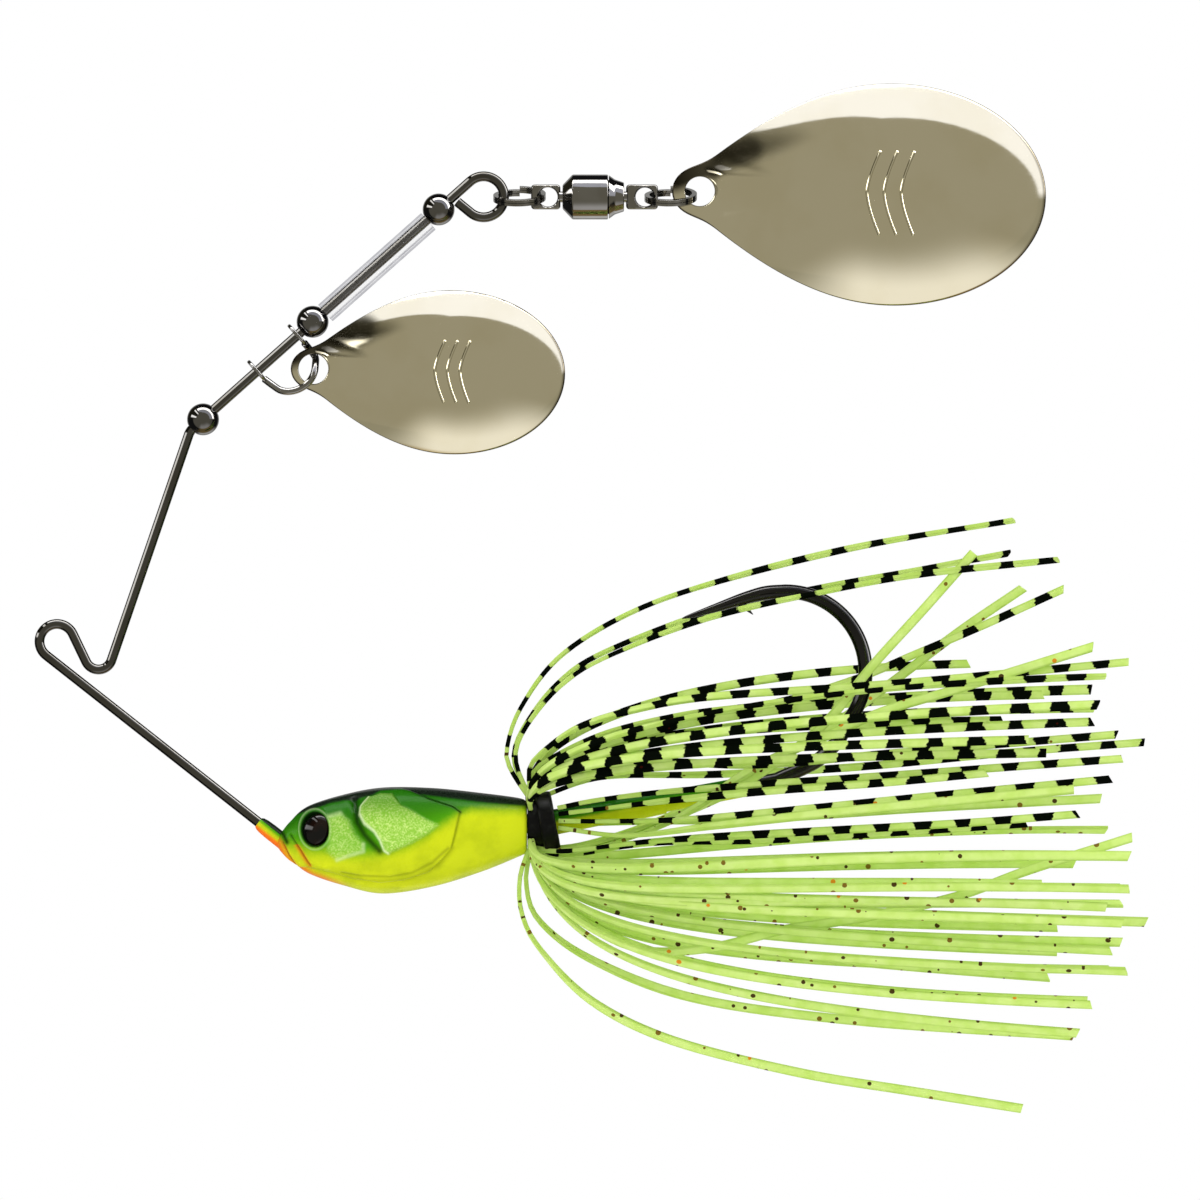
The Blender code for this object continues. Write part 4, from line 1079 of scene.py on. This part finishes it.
def skirt_azimuth(tip_z, side):
    """The angle round the skirt, from over the shank towards +Y, of a strand that ends at this height."""
    reach = REACH_UP if tip_z > SKIRT_MIDDLE_Z else REACH_DOWN
    angle = math.acos(max(-1, min(1, (tip_z - SKIRT_MIDDLE_Z) / reach)))
    return angle if side > 0 else 2 * math.pi - angle


def sector_of(azimuth):
    return int(azimuth / (2 * math.pi) * SECTORS) % SECTORS + 1


STRAND_SECTION = [(1, 0), (0.93, 0.8), (0.6, 1), (0, 1), (-0.6, 1), (-0.93, 0.8),
                  (-1, 0), (-0.93, -0.8), (-0.6, -1), (0, -1), (0.6, -1), (0.93, -0.8)]


def ribbon(shape, path, across, barred, width, tip_lean, number):
    """A strand with a soft-edged flat section, which turns from the collar's edge to its own lean."""
    path, along = resampled(path, 64)
    heading, wide, thick = carried_frames(path, across)
    upright = unit(vec(0, 0, 1) - heading[-1] * heading[-1][2])
    wanted = upright * math.cos(tip_lean) + np.cross(heading[-1], upright) * math.sin(tip_lean)
    twist = math.atan2(wanted @ thick[-1], wanted @ wide[-1])
    twist = (twist + math.pi / 2) % math.pi - math.pi / 2
    share = smoothstep(0.03, 0.6, along / along[-1])
    wobble = 0.16 * np.sin(along * 0.21 + number * 1.7) * share
    turn = twist * share + wobble
    cos, sin = np.cos(turn)[:, None], np.sin(turn)[:, None]
    wide, thick = wide * cos + thick * sin, thick * cos - wide * sin
    swell = 0.62 + 0.38 * smoothstep(0.0, 0.12, along / along[-1])
    half_w, half_t = width / 2 * swell, STRAND_THICK / 2 * (1.25 - 0.25 * swell)
    cut = np.zeros(len(path))
    cut[-1] = 0.22 * math.sin(number * 2.3)
    rings = np.stack([
        path + wide * (half_w * a)[:, None] + thick * (half_t * b)[:, None] + heading * (cut * a)[:, None]
        for a, b in STRAND_SECTION
    ], axis=1)
    uv = [(number * 37.3 + d, a * 0.5) for d in along for a, _ in STRAND_SECTION]
    shape.add(rings, slot=0 if barred else 1, uv=uv)


sectors = {k: Shape() for k in range(1, SECTORS + 1)}
strand_number = 0
for barred, side, route in STRAYS:
    tip = route[-1]
    azimuth = skirt_azimuth(tip[1], side)
    reach_y = side * (1.2 + 0.5 * REACH_SIDE * abs(math.sin(azimuth))) * draw.uniform(0.8, 1.1)
    sweep_y = smoothstep(0.0, 0.75, np.linspace(0, 1, len(route)))
    start_y = side * (1.75 if route[0][0] > 50 else 0.9)
    points = [(x, start_y + (reach_y - start_y) * s, z) for (x, z), s in zip(route, sweep_y)]
    lean = math.radians(draw.uniform(60, 70) if tip[1] > 5.5 and barred else draw.uniform(-20, 20))
    strand_number += 1
    ribbon(sectors[sector_of(azimuth)], smooth(points), SIDE, barred,
           BARRED_STRAY_WIDTH if barred else STRAND_WIDTH, lean, strand_number)
for barred, tips in ((True, BARRED_TIPS), (False, FLECKED_TIPS)):
    for k, (tip_x, tip_z) in enumerate(tips):
        side = -1 if k % 2 else 1
        azimuth = skirt_azimuth(tip_z, side)
        nearest_half = math.pi * round(azimuth / math.pi)
        root_azimuth = nearest_half + (azimuth - nearest_half) * ROOT_SQUEEZE
        out = outwards(root_azimuth)
        start = COLLAR + SHANK * draw.uniform(-0.4, 0.1) + out * draw.uniform(2.4, 2.75)
        start[0] = min(start[0], draw.uniform(47.25, 47.6))
        depth_share = draw.uniform(0.55, 1.0)
        tip = vec(tip_x, REACH_SIDE * math.sin(azimuth) * depth_share, tip_z)
        lift = (3.3 + 0.42 * math.hypot(tip_z - SKIRT_MIDDLE_Z, tip[1])) * draw.uniform(0.85, 1.12)
        past = start + (tip - start) * draw.uniform(0.27, 0.38)
        past[1] = tip[1] * draw.uniform(0.85, 1.0)
        past[2] = SKIRT_MIDDLE_Z + (tip_z - SKIRT_MIDDLE_Z) * draw.uniform(0.84, 0.97)
        path = bezier(start, start + out * lift - SHANK * draw.uniform(0, 1.2), past, tip, 48)
        strand_number += 1
        lean = math.radians(draw.gauss(0, 24))
        ribbon(sectors[sector_of(azimuth)], path, np.cross(SHANK, out), barred,
               STRAND_WIDTH * draw.uniform(0.9, 1.08), lean, strand_number)
for k, sector in sectors.items():
    sector.as_object(f"skirt_strands_{k}", f"skirt_{k}", f"skirt_sector_{k}", barred_skin, flecked_skin, sharp_deg=50)


# ---- stage, light and camera

FLOOR_Z, FLOOR_R = -0.28, 2.6
LENS, SENSOR = 250.0, 36.0
VIEW_WIDTH = 0.12
VIEW_CENTRE = (0.0543, 0.0, 0.00415)


def pale_floor():
    n = new_skin("pale_floor")
    tone = n.ramp(n.noise(n.object_coords(), 3.0), 0.3, 0.7)
    return n.finish(n.principled({"Base Color": n.mix(tone, (0.93, 0.93, 0.93), (0.9, 0.9, 0.905)), "Roughness": 0.9}))


floor_mesh = bpy.data.meshes.new("floor")
floor_rim = [(FLOOR_R * math.cos(a), FLOOR_R * math.sin(a), FLOOR_Z) for a in np.linspace(0, 2 * np.pi, 96, False)]
floor_mesh.from_pydata(floor_rim, [], [tuple(range(96))])
floor_mesh.materials.append(pale_floor())
floor = in_scene("floor", floor_mesh)
floor.visible_glossy = False


def studio_world():
    """White walls and even soft light. In reflections the front is mid grey, with a soft box over it."""
    world = bpy.data.worlds.new("studio")
    bpy.context.scene.world = world
    world.cycles.sampling_method = "NONE"  # so that direct light never samples what only reflections see
    n = Nodes(world)
    towards = n.new("ShaderNodeTexCoord").outputs["Generated"]
    x, y, z = n.split(n.new("ShaderNodeVectorMath", {0: towards}, operation="NORMALIZE").outputs[0])
    front = n.times(y, -1.0)
    away = n.math("SQRT", n.math("MAXIMUM", n.math("SUBTRACT", 1.0, n.times(front, front)), 1e-5))
    rise = n.math("DIVIDE", z, away)
    leftward = n.math("MINIMUM", n.math("DIVIDE", x, away), 0.0)
    right = n.math("MAXIMUM", n.math("DIVIDE", x, away), 0.0)
    tilt = n.math("MULTIPLY_ADD", leftward, -0.32, n.math("MULTIPLY_ADD", right, 0.03, front))
    outer = n.ramp(tilt, 0.655, 0.64)
    upper = n.ramp(n.math("MULTIPLY_ADD", leftward, 1.6, rise), 0.0, 0.12)
    lower = n.ramp(n.math("MULTIPLY_ADD", leftward, -0.8, rise), -0.45, -0.9)
    box = n.mix(n.ramp(front, 0.28, 0.24), (1.17, 1.19, 1.36), (9.0, 8.9, 8.8))
    over = n.mix(n.ramp(front, -0.06, -0.1), box, (0.02, 0.02, 0.022))
    table = n.mix(n.ramp(front, 0.34, 0.26), (1.0, 0.98, 0.97), (0.5, 0.36, 0.14))
    under = n.mix(n.ramp(front, -0.42, -0.5), table, (1.3, 1.28, 1.26))
    walls = n.mix(n.ramp(front, 0.34, 0.2), (0.33, 0.315, 0.255), (0.03, 0.03, 0.03))
    shade = n.times(n.ramp(leftward, -0.4, -0.6), n.ramp(front, 0.74, 0.6))
    colour = n.mix(outer, (0.365, 0.345, 0.28), walls)
    colour = n.mix(n.times(shade, n.ramp(rise, -0.1, 0.3)), colour, (0.05, 0.046, 0.03))
    colour = n.mix(n.times(outer, upper), colour, over)
    colour = n.mix(n.times(n.ramp(front, 0.93, 0.5), lower), colour, under)
    colour = n.mix(n.ramp(front, -0.74, -0.82), colour, (0.5, 0.5, 0.49))
    slit = n.times(n.ramp(front, 0.68, 0.62), n.ramp(front, -0.16, -0.1))
    nearby = n.ramp(n.math("ABSOLUTE", n.plus(leftward, 0.665)), 0.055, 0.035)
    corner = n.times(n.math("MAXIMUM", nearby, n.ramp(leftward, -0.91, -0.935)), n.ramp(rise, 0.15, 0.25))
    colour = n.mix(n.times(slit, corner), colour, (5.0, 4.95, 4.9))
    path = n.new("ShaderNodeLightPath")
    colour = n.mix(path.outputs["Is Diffuse Ray"], colour, (0.75, 0.75, 0.75))
    colour = n.mix(path.outputs["Is Camera Ray"], colour, (1.0, 1.0, 1.0))
    back = n.new("ShaderNodeBackground", {"Color": colour})
    n.new("ShaderNodeOutputWorld", {"Surface": back.outputs[0]})


studio_world()


def soft_light(name, place, size, watts):
    """An area light that faces the lure and shows in no reflection."""
    lamp = bpy.data.lights.new(name, "AREA")
    lamp.size, lamp.energy = size, watts
    made = in_scene(name, lamp)
    made.location = place
    made.rotation_euler = (Vector(VIEW_CENTRE) - Vector(place)).to_track_quat("-Z", "Y").to_euler()
    made.visible_glossy = False


soft_light("front_fill", (-0.35, -0.9, 0.25), 0.8, 3.75)
soft_light("top_key", (0.1, -0.15, 0.9), 0.9, 3.4)
soft_light("back_fill", (0.3, 0.9, 0.1), 0.8, 3.0)

camera_data = bpy.data.cameras.new("camera")
camera_data.lens, camera_data.sensor_width = LENS, SENSOR
camera_data.clip_start, camera_data.clip_end = 0.01, 50.0
camera = in_scene("camera", camera_data)
camera.location = (VIEW_CENTRE[0], -VIEW_WIDTH * LENS / SENSOR, VIEW_CENTRE[2])
camera.rotation_euler = (math.pi / 2, 0, 0)
bpy.context.scene.camera = camera
bpy.context.scene.view_settings.view_transform = "Standard"
bpy.context.scene.view_settings.look = "None"
